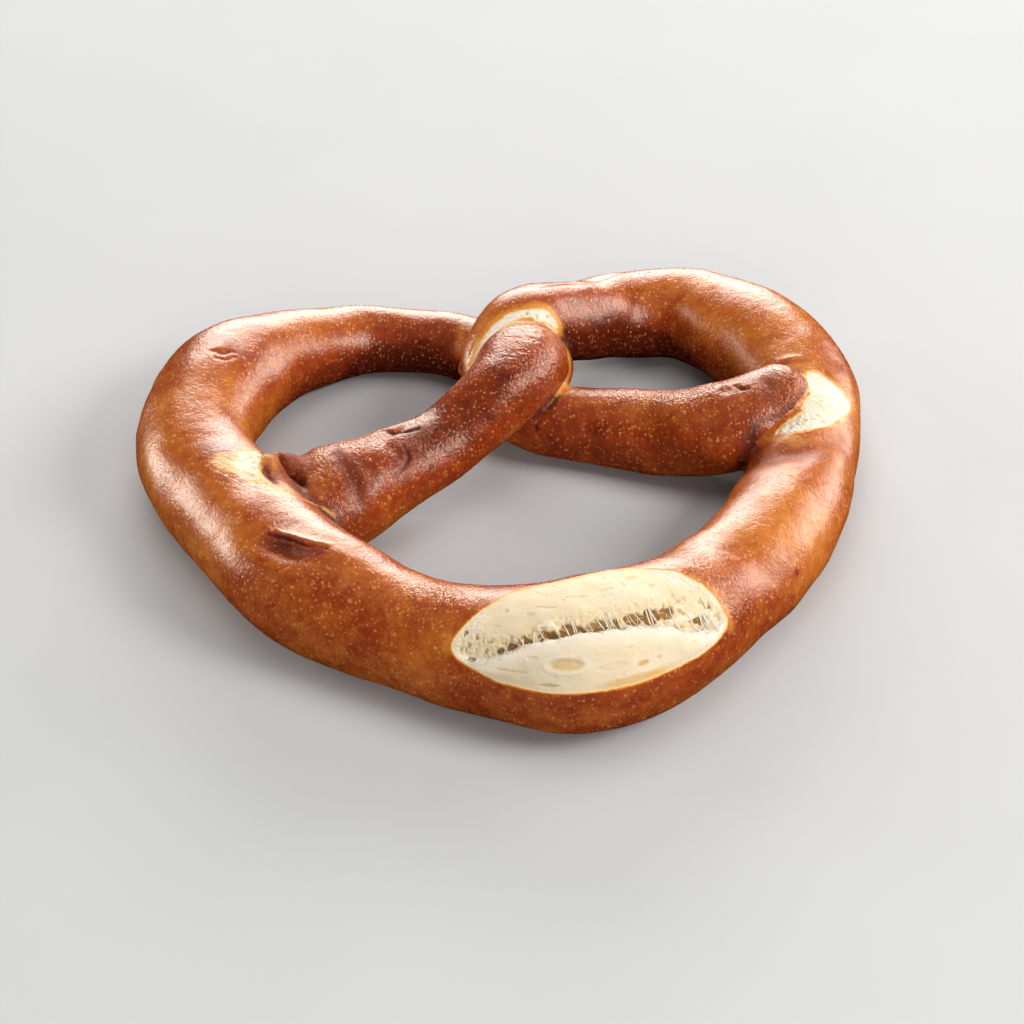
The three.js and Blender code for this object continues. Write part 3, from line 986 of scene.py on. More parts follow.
# The torn wall between the two lobes: places of its foot at the lip, and of its top
LIP = (
    (-27, -10), (-22, -10.4), (-17.2, -9.6), (-14.3, -8), (-12, -6.8), (-10.4, -5.7), (-7.5, -4.4),
    (-5, -3.6), (-2.4, -2.9), (0.1, -2.8), (2.4, -3), (5.1, -3), (8, -3.6), (10.4, -4.4), (12.5, -5.4),
    (14.4, -7), (16.2, -8.5), (18.9, -9.7), (21, -10.6), (27, -11),
)
WALL_TOP = (
    (-27, -5), (-20.5, -4), (-17.4, -3.4), (-14.2, -3.2), (-10.5, -1.9), (-7.8, 0.3), (-3.9, 1.8),
    (-0.6, 2.7), (2.8, 3.3), (6.3, 3.2), (10, 2.7), (13.5, 2.2), (17.5, 2.4), (21.7, 1.5), (27, 1),
)
# Marks in the belly's crumb, as x, y, half sizes and depth: caves in the wall, then pores
CAVES = (
    (-22.2, -3.6, 0.7, 0.6, 0.8), (-20.4, -10.3, 0.9, 0.6, 0.8), (-19.6, -4.4, 0.4, 0.8, 0.5),
    (-17.4, -7.6, 0.4, 0.9, 0.5), (-18.4, -5.2, 0.3, 0.7, 0.4), (-16.2, -4.6, 0.4, 0.7, 0.4),
    (-23, -8.2, 0.5, 0.7, 0.5), (-21, -6.5, 0.4, 0.7, 0.5), (-14.3, -7.2, 0.9, 0.9, 1),
    (-12.6, -6, 1.1, 1, 1.1), (-10.4, -4.4, 1.3, 1.1, 0.9), (-6.6, -3.1, 1.7, 1.6, 1.3),
    (-3, -1.8, 2.1, 1.7, 1.2), (0.9, -1.3, 1.8, 1.8, 0.8), (3.6, -1.4, 1.1, 1.6, 0.8),
    (7.2, -1, 1.9, 1.6, 1), (10.4, -1.6, 1.7, 1.8, 1.4), (13.4, -1.9, 1.6, 1.5, 1),
    (19.2, -6.8, 1.6, 1, 1.2), (16.2, -3, 0.6, 1.2, 0.5), (21.4, -3.4, 0.4, 1.6, 0.6),
    (22.6, -5, 0.4, 1.4, 0.5),
)
PORES = (
    (-4.1, -9.6, 2.3, 1.4, 0.7), (-6.5, -14.1, 1.5, 0.45, 0.5), (-14.5, 3.1, 0.6, 0.5, 0.3),
    (-9.6, 2.1, 1, 0.6, 0.3), (-7, 4.2, 2.3, 0.45, 0.2), (6.2, -11.6, 1, 0.6, 0.4),
    (8.8, -11.4, 0.5, 0.5, 0.3), (-10.8, -11.5, 1.5, 0.35, 0.25), (-13.4, -11.4, 1.4, 0.35, 0.2),
    (-8.5, -8.3, 1, 0.6, 0.2), (3.8, 8, 1.3, 0.7, 0.2), (15.5, 1.7, 1.2, 0.5, 0.25),
    (13.7, 6, 0.7, 0.5, 0.2), (19.4, 2.8, 0.6, 0.4, 0.2), (2, -11, 2.2, 1, 0.15), (-1.5, 7, 2.4, 0.7, 0.12),
)
# A raised ring round the largest pore: middle, half sizes
PORE_RING = (-4.1, -9.7, 2.8, 1.8)
GOLD_MARKS = (
    (4.7, -15, 6, 1.8, 0.8), (6.2, -11.6, 1.2, 0.8, 0.8), (12, 10.5, 2, 1, 0.5), (10, -14.6, 4, 1.4, 0.5),
)


def along_line(x, corners, seed, jag):
    """The y of a line through a few corners at each x, made ragged by an amount"""
    line = np.array(corners, float)
    path = spline(line, np.linspace(0, len(line) - 1, LINE_STEPS), True)
    ragged = 0.35 * noise(seed, x / 2.3) + 0.22 * noise(seed + 1, x / 0.8) + 0.14 * noise(seed + 2, x / 0.35)
    return np.interp(x, path[:, 0], path[:, 1]) + jag * ragged


def lip_at(x):
    return along_line(x, LIP, 33, 0.8)


def wall_top_at(x):
    return along_line(x, WALL_TOP, 37, 1.2)


def belly_form(x, y, rim):
    """Height of the two lobes and of the wall between them, with the distance over the lip, and how
    far each place is in the wall and in the burst's two ends"""
    gape = np.sqrt(np.clip(1 - (x / HALF_BURST) ** 2, 0, 1))
    lip = lip_at(x)
    top = wall_top_at(x)
    over = y - lip
    share = np.clip(over / np.maximum(top - lip, 0.5), 0, 1.6)
    lobe = 0.95 * np.exp(-((over + 2.8) / 4) ** 2) - 1.1 * smooth(-1.3, 0.4, over)
    wall = -0.3 * np.exp(-np.maximum(share - 1, 0) * 1.2) - 1.5 * np.clip(1 - share, 0, 1) ** 1.3
    behind = smooth(-0.3, 0.5, over)
    height = (lobe * (1 - behind) + wall * behind) * gape * smooth(0, 2.2, rim)
    band = smooth(-0.2, 0.4, over) * smooth(1.25, 0.75, share) * smooth(0.3, 1.3, rim)
    ends = smooth(16, 21, np.abs(x)) * smooth(0.1, 1, rim)
    return height, over, band, ends


def belly_caves(x, y, band, ends):
    """Depth of the caves in the torn wall and in the burst's ends"""
    bent_x = x + 0.35 * noise(44, x / 0.9, y / 0.9)
    bent_y = y + 0.4 * noise(45, x / 0.8, y / 0.8)
    holes = noise(41, x / 0.9, y / 1.3) + 0.4 * noise(42, x / 0.4, y / 0.6)
    caves = bumps(bent_x, bent_y, CAVES, 0.72) + 0.45 * smooth(0.35, 0.9, holes) * band
    return caves * np.maximum(band, 0.9 * ends)


def belly_pores(x, y, rim, band):
    """Depth of the pores in the smooth lobes"""
    small = scattered(11, 90, (-22, -15), (22, 16), (0.2, 0.7), (0.06, 0.22))
    pores = bumps(x, y, PORES) + bumps(x, y, small)
    return pores * smooth(0.3, 1.0, rim) * (1 - band)


def pore_ring(x, y):
    px, py, long, wide = PORE_RING
    far = np.sqrt(((x - px) / long) ** 2 + ((y - py) / wide) ** 2)
    return np.exp(-((far - 1) / 0.12) ** 2)


def belly_relief(x, y, rim):
    """Height of the torn crumb and what its colours follow"""
    height, over, band, ends = belly_form(x, y, rim)
    caves = belly_caves(x, y, band, ends)
    pores = belly_pores(x, y, rim, band)
    ring = pore_ring(x, y)
    bent = 0.6 * noise(43, x / 2.4, y / 2.4)
    crest = np.clip(crests(x / 1.7 + bent, y / 2.4, 0.1), 0, 1) * np.maximum(band, 0.7 * ends)
    fringe = smooth(-3.2, -0.4, over) * smooth(0.9, 0, over) * smooth(0.3, 1, rim)
    fibre = noise(46, x / 0.32 + bent, y / 2.2) * np.maximum(np.maximum(band, 0.7 * fringe), ends)
    rough = noise(47, x / 0.5, y / 0.5) * np.maximum(band, ends)
    grain = 0.03 * noise(49, x / 0.45, y / 0.45) + 0.12 * noise(50, x / 3.1, y / 2.2)
    inside = smooth(-0.1, 0.35, rim)
    height = height - 0.22 * inside
    height = height - caves * 0.75 + crest * (0.1 + 0.4 * np.clip(caves, 0, 1)) + 0.06 * fibre + 0.09 * rough
    height = height - pores + 0.1 * ring + grain * inside
    white = smooth(-5.5, -0.5, over) * smooth(1.2, 0.3, over) * smooth(0.3, 1, rim)
    # The hollow value is painted shade in the caves and pores
    values = {
        "hollow": np.clip(caves * (1 - 0.65 * crest) + 0.1 * fibre, 0, 1),
        "torn": np.clip(0.85 * white + 0.8 * crest + 0.35 * ends + 0.3 * fibre + 0.3 * ring, 0, 1),
        "pore": np.clip(pores * 1.4 + 0.5 * band * (1 - crest) * (1 - white), 0, 1),
        "gold": np.clip(bumps(x, y, GOLD_MARKS, 0.0), 0, 1),
    }
    return height, values


def belly_plug():
    """Two lobes of crumb with the torn wall between them, and its chart"""
    look = bpy.context.scene.pretzel_crumb
    grid = chart_grid(BELLY_RIM, look.step * (1))
    x, y, off, _ = grid
    rim = off + 0.16 * noise(31, x / 2.4, y / 2.4) + 0.1 * noise(32, x / 0.7, y / 0.7)
    height, values = belly_relief(x, y, rim)
    values["rim"] = rim
    piece, points = plug("belly_split", BELLY, grid, height, values, (0.35, 0.7), BELLY_DEPTH)
    return piece, points, x, y


# The tears at the arms and the knot, on charts seen along the middle of each; points' spacing in mm
TEAR_STEP = 0.13
TWIST_STEP = 0.12
RIGHT_TEAR = FlatChart((70, 11, 22), (0.22, -0.12, 0.97), 395, 465, 0.35)
RIGHT_TEAR_RIM = (
    (2.2, 10.7), (4.4, 10.3), (7.6, 7.2), (10.7, 4.2), (11.8, 1.6), (9.2, -2.7), (3.9, -8.1),
    (-2.2, -11), (-6.3, -11.3), (-8.8, -9.9), (-7, -7.3), (-4.4, -5.2), (-2.4, -4), (-1.8, -2.2),
    (-0.9, -0.5), (0.5, 1), (0.8, 4.4), (1.4, 8.4),
)
RIGHT_TEAR_TIP = (-4.0, 3.0)
RIGHT_TEAR_PORES = (
    (-5.4, -8.6, 0.8, 0.5, 0.7), (-4, -7.9, 0.6, 0.6, 0.6), (-2.7, -8.3, 0.5, 0.4, 0.4),
    (-2.3, -6.9, 0.7, 0.4, 0.4), (0, -6.3, 0.9, 0.5, 0.45), (1.3, -5, 0.6, 0.4, 0.4),
    (1.9, -7, 1.3, 0.4, 0.35), (4, 4.2, 0.9, 0.4, 0.25), (4.7, 2, 1.1, 0.35, 0.25),
    (5, -2, 1.2, 0.3, 0.25), (7.4, -1, 1.2, 0.3, 0.2), (2.7, -0.8, 0.5, 0.4, 0.25),
)
LEFT_TEAR = FlatChart((-60, 3, 23), (0.25, 0.15, 0.95), 205, 265, 0.35)
LEFT_TEAR_RIM = (
    (-8.9, 0.8), (-7.6, 1.7), (-4.2, 2.4), (-2.2, 5.3), (0, 6.6), (2.2, 8.2), (3.2, 7), (2.6, 3.5),
    (1.3, -1.3), (1.2, -5.4), (2.2, -8.6), (4.8, -10), (7.6, -12.8), (7.4, -13.9), (4.4, -12.9),
    (1.6, -11.6), (-1, -8.9), (-3.2, -6.6), (-5.2, -4.6), (-7.9, -1.4),
)
TWIST_TEAR = FlatChart((6, 44, 27), (0, -0.45, 0.89), 535, 562, 0.7)
TWIST_TEAR_RIM = (
    (-11.5, -7.7), (-10, -4.9), (-8.6, -2.9), (-6.8, -1.1), (-4.8, 0.6), (-2.9, 1.8), (-0.7, 2.7),
    (2.1, 3.1), (4.3, 3.3), (6.2, 3.5), (8, 3.1), (9.2, 2), (10, 0.9), (10.3, 0), (9.7, -0.1),
    (8.7, 0.3), (7.1, 0.5), (5.2, 0.5), (4.3, 1.3), (3.1, 1.4), (1, 1.3), (-1.6, 0.4), (-3.9, -1),
    (-6.3, -2.7), (-8.8, -4.9), (-10.9, -7.4),
)
TWIST_TEAR_PITS = ((3, 2.4, 0.5, 0.4, 0.5), (8.2, 1.9, 0.5, 0.5, 0.6), (5.3, 1.4, 0.35, 0.9, 0.4))


def tear_grid(corners, step=TEAR_STEP):
    return chart_grid(corners, step)


def right_tear():
    """Smooth crumb stretched between the right arm's tip and the ring, drawn into fibres"""
    grid = tear_grid(RIGHT_TEAR_RIM)
    x, y, off, _ = grid
    arm = smooth(1, -2, x)
    rim = off + 0.2 * noise(81, x / 1.6, y / 1.6) + (0.12 + 0.25 * arm) * noise(82, x / 0.6, y / 0.6)
    tip_x, tip_y = RIGHT_TEAR_TIP
    far = np.hypot(x - tip_x, y - tip_y)
    turn = np.arctan2(y - tip_y, x - tip_x)
    inside = smooth(-0.1, 0.5, rim)
    fibres = noise(83, turn * 14 + 0.4 * noise(85, x / 2, y / 2), far / 2.6)
    fibres = fibres * (0.5 + 0.5 * noise(86, x / 3, y / 3))
    low = smooth(8.5, 4.5, far)
    pores = bumps(x, y, RIGHT_TEAR_PORES, 0.1) * smooth(0.1, 0.6, rim)
    ragged = smooth(-3, -6.5, y) * smooth(3, -2, x)
    height = inside * (-0.2 - 0.4 * low * (1 - ragged) + 0.12 * fibres * smooth(0.3, 1.2, rim)) - 0.7 * pores
    height = height + inside * ragged * 0.3 * noise(84, x / 0.6, y / 0.6)
    values = {
        "rim": rim,
        # The hollow value is painted shade in the ragged part and its pores
        "hollow": np.clip(ragged * (0.6 * pores + 0.35 * smooth(0, 0.6, noise(87, x / 0.9, y / 0.9))), 0, 1),
        "torn": np.clip(0.75 + 0.5 * fibres + 0.25 * noise(88, x / 4, y / 4), 0, 1) * inside,
        "pore": np.clip(pores * 0.7 + 0.3 * smooth(0.2, 0.6, -fibres) * smooth(11, 6, far), 0, 1),
        "gold": np.clip(smooth(1.1, 0.1, rim) * arm * (0.9 + 0.5 * noise(89, x / 1.2, y / 1.2)), 0, 1),
    }
    halo = (1.0 - 0.3 * arm, 0.75 - 0.15 * arm + 0.25 * noise(90, x / 2, y / 2))
    return plug("right_tear", RIGHT_TEAR, grid, height, values, halo, 2.6)


def left_tear():
    """Crumb torn open where the left arm's end pulled off the ring, with streaks drawn out of it"""
    grid = tear_grid(LEFT_TEAR_RIM)
    x, y, off, _ = grid
    corner = 0.6 * smooth(2.5, -1, x) * smooth(-2, -6, y)
    drawn = np.clip(smooth(-1.5, -6, x) + smooth(-6, -10, y) + corner, 0, 1)
    u, v = 0.9 * x - 0.45 * y, 0.45 * x + 0.9 * y
    bend = 0.5 * noise(96, x / 2.5, y / 2.5)
    streaks = noise(91, u / 2.6, v / 0.55 + bend) + 0.6 * noise(92, u / 1.5, v / 0.28 + bend)
    rim = off + 0.25 * noise(93, x / 1.2, y / 1.2) + drawn * (1.1 * streaks - 0.25) * smooth(-1.4, -0.4, off)
    inside = smooth(-0.15, 0.6, rim)
    pores = bumps(x, y, scattered(95, 22, (-1.5, -3), (2.8, 5), (0.2, 0.6), (0.2, 0.5)))
    pores = pores * smooth(0.2, 0.8, rim)
    core = smooth(-3.5, -0.5, x) * smooth(0.1, 1.2, rim)
    height = inside * (0.1 * streaks * drawn - 0.1) - pores + core * 0.25 * noise(94, x / 0.9, y / 0.9)
    values = {
        "rim": rim,
        # The hollow value is painted shade in the pores
        "hollow": np.clip(pores * 0.35, 0, 1),
        "torn": np.clip(0.75 + 0.3 * streaks - 0.3 * drawn, 0, 1) * inside,
        "pore": np.clip(pores + 0.35 * smooth(0.8, 2.2, x) * smooth(-7.5, -4, y) + 0.3 * drawn, 0, 1),
        "gold": np.clip(drawn * (0.5 - 0.6 * streaks) + 0.6 * smooth(0.9, 0, rim) * drawn, 0, 0.8),
    }
    return plug("left_tear", LEFT_TEAR, grid, height, values, (1.4, 0.64), 2.2)


def twist_tear():
    """Crescent of crumb where the upper strand curls round the one below it"""
    grid = tear_grid(TWIST_TEAR_RIM, TWIST_STEP)
    x, y, off, _ = grid
    rim = off + 0.4 + 0.16 * noise(101, x / 0.9, y / 0.9) + 0.1 * noise(102, x / 0.35, y / 0.35)
    inside = smooth(-0.1, 0.4, rim)
    grain = noise(103, x / 0.8, y / 0.5)
    pits = bumps(x, y, TWIST_TEAR_PITS, 0.1)
    height = inside * (0.1 * grain - 0.1) - pits * inside
    values = {
        "rim": rim,
        # The hollow value is painted shade in the pits
        "hollow": np.clip(pits * 0.5, 0, 1),
        "torn": np.clip(0.8 + 0.4 * grain, 0, 1) * inside * smooth(0.1, 0.5, rim),
        "pore": np.clip(pits, 0, 1),
        "gold": np.clip(smooth(0.6, 0.1, rim) * 0.6 + 0.8 * smooth(-6, -10.5, x), 0, 1),
    }
    return plug("twist_tear", TWIST_TEAR, grid, height, values, (1.4, 0.72), 1.8)


# Materials

class Field:
    """A socket's value in a node tree, so that maths on it is written as an expression"""

    def __init__(self, tree, socket):
        self.tree = tree
        self.socket = socket

    def maths(self, operation, *others):
        inputs = dict(enumerate((self,) + others))
        return add_node(self.tree, "ShaderNodeMath", {"operation": operation}, inputs)

    def __add__(self, other):
        return self.maths("ADD", other)

    def __radd__(self, other):
        return self.maths("ADD", other)

    def __sub__(self, other):
        return self.maths("SUBTRACT", other)

    def __rsub__(self, other):
        return (self * -1) + other

    def __mul__(self, other):
        return self.maths("MULTIPLY", other)

    def __rmul__(self, other):
        return self.maths("MULTIPLY", other)

    def step(self, low, high):
        """Rises smoothly from 0 to 1 between two values"""
        inputs = {"Value": self, "From Min": low, "From Max": high}
        return add_node(self.tree, "ShaderNodeMapRange", {"interpolation_type": "SMOOTHSTEP"}, inputs)

    def held(self):
        return add_node(self.tree, "ShaderNodeClamp", {}, {"Value": self})


def add_node(tree, kind, settings=None, inputs=None, output=0):
    """Adds a node: its settings first, then the values or links of its sockets"""
    node = tree.nodes.new(kind)
    for key, value in (settings or {}).items():
        if key == "stops":
            while len(node.color_ramp.elements) < len(value):
                node.color_ramp.elements.new(0.5)
            for element, (place, colour) in zip(node.color_ramp.elements, value):
                element.position = place
                element.color = (*colour, 1)
        else:
            setattr(node, key, value)
    for key, value in (inputs or {}).items():
        if isinstance(value, Field):
            tree.links.new(value.socket, node.inputs[key])
        else:
            node.inputs[key].default_value = value
    return Field(tree, node.outputs[output])


def mix_colour(factor, low, high):
    colours = {0: factor, 6: low, 7: high}
    for key in (6, 7):
        if not isinstance(colours[key], Field):
            colours[key] = (*colours[key], 1)
    return add_node(factor.tree, "ShaderNodeMix", {"data_type": "RGBA"}, colours, 2)


def tree_noise(tree, place, size, detail=2.0, roughness=0.5):
    inputs = {"Vector": place, "Scale": 1 / (size * MM), "Detail": detail, "Roughness": roughness}
    return add_node(tree, "ShaderNodeTexNoise", {}, inputs)


def tree_value(tree, name):
    return add_node(tree, "ShaderNodeAttribute", {"attribute_name": name}, {}, "Fac")


def tree_vector(tree, name):
    return add_node(tree, "ShaderNodeAttribute", {"attribute_name": name}, {}, "Vector")


def stretched(tree, place, scale):
    return add_node(tree, "ShaderNodeMapping", {}, {"Vector": place, "Scale": scale})


def speckles(tree, place, cell, smallest, largest, share):
    """Round spots of uneven size: one in some of the cells, from 0 at the edge to 1"""
    inputs = {"Vector": place, "Scale": 1 / (cell * MM)}
    away = add_node(tree, "ShaderNodeTexVoronoi", {}, inputs)
    tint = add_node(tree, "ShaderNodeTexVoronoi", {}, inputs, "Color")
    lot = add_node(tree, "ShaderNodeSeparateColor", {}, {"Color": tint})
    chosen = lot.step(1 - share, 1 - share + 0.02)
    other = add_node(tree, "ShaderNodeSeparateColor", {}, {"Color": tint}, 1)
    radius = other * ((largest - smallest) / cell) + smallest / cell
    return (radius - away).step(-0.05, 0.12) * chosen


def centred(tree, push, amount):
    """A noise's colour as a push either way, up to half an amount"""
    away = add_node(tree, "ShaderNodeVectorMath", {"operation": "SUBTRACT"}, {0: push, 1: (0.5, 0.5, 0.5)})
    return add_node(tree, "ShaderNodeVectorMath", {"operation": "SCALE"}, {0: away, "Scale": amount})


def bent_place(tree, place, size, amount):
    """Places pushed about by noise, so that round marks come out uneven"""
    inputs = {"Vector": place, "Scale": 1 / (size * MM)}
    push = add_node(tree, "ShaderNodeTexNoise", {}, inputs, "Color")
    inputs = {0: place, 1: centred(tree, push, amount * MM)}
    return add_node(tree, "ShaderNodeVectorMath", {"operation": "ADD"}, inputs)


def crust_fields(tree):
    """Colour, roughness and height in mm of the crust"""
    look = bpy.context.scene.pretzel_crust
    place = add_node(tree, "ShaderNodeTexCoord", {}, {}, "Object")
    bent = bent_place(tree, place, 1.0, 0.7)
    along = tree_vector(tree, "straight")
    bake = tree_value(tree, "bake")
    warm = tree_value(tree, "warm")
    crease = tree_value(tree, "crease")
    wrinkle = tree_value(tree, "wrinkle")
    mottle = tree_noise(tree, place, 3.4, 4, 0.65)
    grain = tree_noise(tree, place, 0.55, 3, 0.65)
    # Painted shade: the crease value darkens the tone in joins and grooves and dims the speckles and golden
    # seams there
    tone = bake + (mottle - 0.5) * 0.75 + (grain - 0.5) * 0.6 + crease * 0.75
    stops = [
        (0.0, tuple(look.golden)), (0.3, tuple(look.amber)), (0.62, tuple(look.brown)),
        (1.0, tuple(look.chestnut)),
    ]
    colour = add_node(tree, "ShaderNodeValToRGB", {"stops": stops}, {"Fac": tone.held()})
    fine = speckles(tree, bent, 0.9, 0.16, 0.34, 0.6)
    small = speckles(tree, bent, 1.7, 0.18, 0.42, 0.6)
    large = speckles(tree, bent, 4.2, 0.3, 0.6, 0.3)
    spots = (fine * 0.75).maths("MAXIMUM", small * 0.8).maths("MAXIMUM", large * 0.8)
    colour = mix_colour(spots * (0.55 - crease * 0.45), colour, tuple(look.speckle))
    uneven = (mottle - 0.5) * 0.35 * warm.step(0.02, 0.3)
    golden = (warm - crease.step(0.35, 0.9) * 0.8 + uneven).held()
    colour = mix_colour(golden.step(0.05, 0.7), colour, tuple(look.rim))
    colour = mix_colour(golden.step(0.65, 1.0) * 0.75, colour, tuple(look.stretched))
    swell = tree_noise(tree, place, 2.2, 2, 0.5)
    skin = tree_noise(tree, place, 0.55, 3, 0.7)
    folds = ridged(tree_noise(tree, stretched(tree, along, (1.0, 0.55, 0.55)), 1.5, 3, 0.6))
    height = skin * 0.07 + swell * 0.14 + spots * 0.05 + folds * (wrinkle * 0.55 + 0.05)
    roughness = 0.2 + grain * 0.14 + spots * 0.1 + crease * 0.6
    return colour, roughness, height


def ridged(value):
    """Sharp ridges where noise passes its middle value"""
    return (value - 0.5).maths("ABSOLUTE") * -2 + 1


def crumb_fields(tree):
    """Colour and height in mm of the torn crumb"""
    look = bpy.context.scene.pretzel_crumb
    place = add_node(tree, "ShaderNodeTexCoord", {}, {}, "Object")
    rim = tree_value(tree, "rim")
    hollow = tree_value(tree, "hollow")
    torn = tree_value(tree, "torn")
    pore = tree_value(tree, "pore")
    gold = tree_value(tree, "gold")
    cloud = tree_noise(tree, place, 5.5, 3, 0.6)
    grain = tree_noise(tree, place, 0.5, 3, 0.7)
    colour = mix_colour((cloud + (grain - 0.5) * 0.5).step(0.3, 0.7), tuple(look.straw), tuple(look.cream))
    colour = mix_colour((torn * 0.9).held(), colour, tuple(look.white))
    colour = mix_colour(pore.held() * 0.85, colour, tuple(look.pore))
    # Painted shade: the hollow value turns the caves and pits to the brown of the shade in them
    colour = mix_colour((hollow + (grain - 0.5) * 0.3).step(0.12, 0.95), colour, tuple(look.cave_shade))
    colour = mix_colour((gold + (grain - 0.5) * 0.4 * gold).held() * 0.8, colour, tuple(look.gold))
    edge = (rim + (grain - 0.5) * 0.3).step(0.55, 0.0)
    colour = mix_colour(edge * 0.5, colour, tuple(bpy.context.scene.pretzel_crust.stretched))
    line = (rim + (grain - 0.5) * 0.2).step(0.16, -0.04)
    colour = mix_colour(line * 0.7, colour, tuple(bpy.context.scene.pretzel_crust.rim))
    return colour, grain * 0.08 + cloud * 0.05


def new_material(name):
    material = bpy.data.materials.new(name)
    material.use_nodes = True
    material.node_tree.nodes.clear()
    return material


def end_material(tree, shader):
    output = tree.nodes.new("ShaderNodeOutputMaterial")
    tree.links.new(shader.socket, output.inputs["Surface"])


# The tint of the crust's sheen
SPECULAR_TINT = (1, 0.86, 0.74, 1)
# Light that spreads in the crumb: its share, how much of each colour, and how far in metres
CRUMB_SPREAD = 0.25
SPREAD = (1.0, 0.55, 0.25)
SPREAD_REACH = 0.0015


def relief(tree, height):
    """Normals from a height in mm"""
    return add_node(tree, "ShaderNodeBump", {}, {"Height": height, "Strength": 1.0, "Distance": MM})


def glossy_shader(tree, colour, roughness, height):
    """Crust with its lye gloss"""
    look = bpy.context.scene.pretzel_crust
    bump = relief(tree, height)
    inputs = {
        "Base Color": colour, "Roughness": roughness, "Normal": bump, "IOR": 1.5,
        "Specular IOR Level": 0.8, "Specular Tint": SPECULAR_TINT,
        "Coat Weight": look.gloss, "Coat Roughness": 0.22,
    }
    return add_node(tree, "ShaderNodeBsdfPrincipled", {}, inputs)


def matt_shader(tree, colour, height, spread):
    """Crumb, or crust deep in a crease; the spread is the share of light that goes into it"""
    bump = relief(tree, height)
    inputs = {
        "Base Color": colour, "Roughness": 0.85, "Normal": bump, "Specular IOR Level": 0.25,
        "Subsurface Weight": spread, "Subsurface Radius": SPREAD, "Subsurface Scale": SPREAD_REACH,
    }
    return add_node(tree, "ShaderNodeBsdfPrincipled", {}, inputs)


def folded_in(tree):
    """How deep in a crease a place is, from 0 to 1"""
    return tree_value(tree, "crease").step(0.3, 0.8)


def crust_material():
    """Glossy crust, matt where it is folded in"""
    material = bpy.data.materials.get("lye crust")
    if material:
        return material
    material = new_material("lye crust")
    tree = material.node_tree
    colour, roughness, height = crust_fields(tree)
    inputs = {
        0: folded_in(tree), 1: glossy_shader(tree, colour, roughness, height),
        2: matt_shader(tree, colour, height, 0.0),
    }
    end_material(tree, add_node(tree, "ShaderNodeMixShader", {}, inputs))
    return material


def crumb_material():
    """Crumb inside the rim of a tear and crust outside it"""
    material = bpy.data.materials.get("torn crumb")
    if material:
        return material
    material = new_material("torn crumb")
    tree = material.node_tree
    colour, roughness, height = crust_fields(tree)
    crumb, crumb_height = crumb_fields(tree)
    inside = tree_value(tree, "rim").step(-0.08, 0.1)
    inputs = {
        0: inside.maths("MAXIMUM", folded_in(tree)), 1: glossy_shader(tree, colour, roughness, height),
        2: matt_shader(tree, mix_colour(inside, colour, crumb), crumb_height, CRUMB_SPREAD),
    }
    end_material(tree, add_node(tree, "ShaderNodeMixShader", {}, inputs))
    return material


FLOOR_COLOURS = ((0.5, 0.525, 0.55), (0.53, 0.555, 0.58))


def floor_material():
    """Pale paper, a little uneven"""
    material = new_material("pale floor")
    tree = material.node_tree
    place = add_node(tree, "ShaderNodeTexCoord", {}, {}, "Object")
    colour = mix_colour(tree_noise(tree, place, 40, 2, 0.5), *FLOOR_COLOURS)
    inputs = {"Base Color": colour, "Roughness": 0.9}
    end_material(tree, add_node(tree, "ShaderNodeBsdfPrincipled", {}, inputs))
    return material


# Geometry nodes: threads of crumb and blisters of the crust

def new_tree(name, sockets):
    """A tree of geometry nodes with inputs of its own, and the fields of these inputs"""
    tree = bpy.data.node_groups.new(name, "GeometryNodeTree")
    tree.interface.new_socket("Geometry", in_out="OUTPUT", socket_type="NodeSocketGeometry")
    tree.interface.new_socket("Geometry", in_out="INPUT", socket_type="NodeSocketGeometry")
    for title, kind in sockets:
        tree.interface.new_socket(title, in_out="INPUT", socket_type="NodeSocket" + kind)
    source = tree.nodes.new("NodeGroupInput")
    titles = ["Geometry"] + [title for title, _ in sockets]
    return tree, {title: Field(tree, source.outputs[title]) for title in titles}


def end_tree(tree, geometry, material):
    """Realizes the instances, shades them smooth and gives them their material"""
    solid = add_node(tree, "GeometryNodeRealizeInstances", {}, {"Geometry": geometry})
    even = add_node(tree, "GeometryNodeSetShadeSmooth", {}, {"Geometry": solid})
    dressed = add_node(tree, "GeometryNodeSetMaterial", {}, {"Geometry": even, "Material": material})
    output = tree.nodes.new("NodeGroupOutput")
    tree.links.new(dressed.socket, output.inputs["Geometry"])


def grown(name, piece, tree, values):
    """A new piece from what a tree of geometry nodes makes of another piece"""
    modifier = piece.modifiers.new(name, "NODES")
    modifier.node_group = tree
    for socket in tree.interface.items_tree:
        if socket.in_out == "INPUT" and socket.name in values:
            modifier[socket.identifier] = values[socket.name]
    depsgraph = bpy.context.evaluated_depsgraph_get()
    evaluated = piece.evaluated_get(depsgraph)
    mesh = bpy.data.meshes.new_from_object(evaluated, preserve_all_data_layers=True, depsgraph=depsgraph)
    piece.modifiers.remove(modifier)
    result = bpy.data.objects.new(name, mesh)
    bpy.context.scene.collection.objects.link(result)
    return result


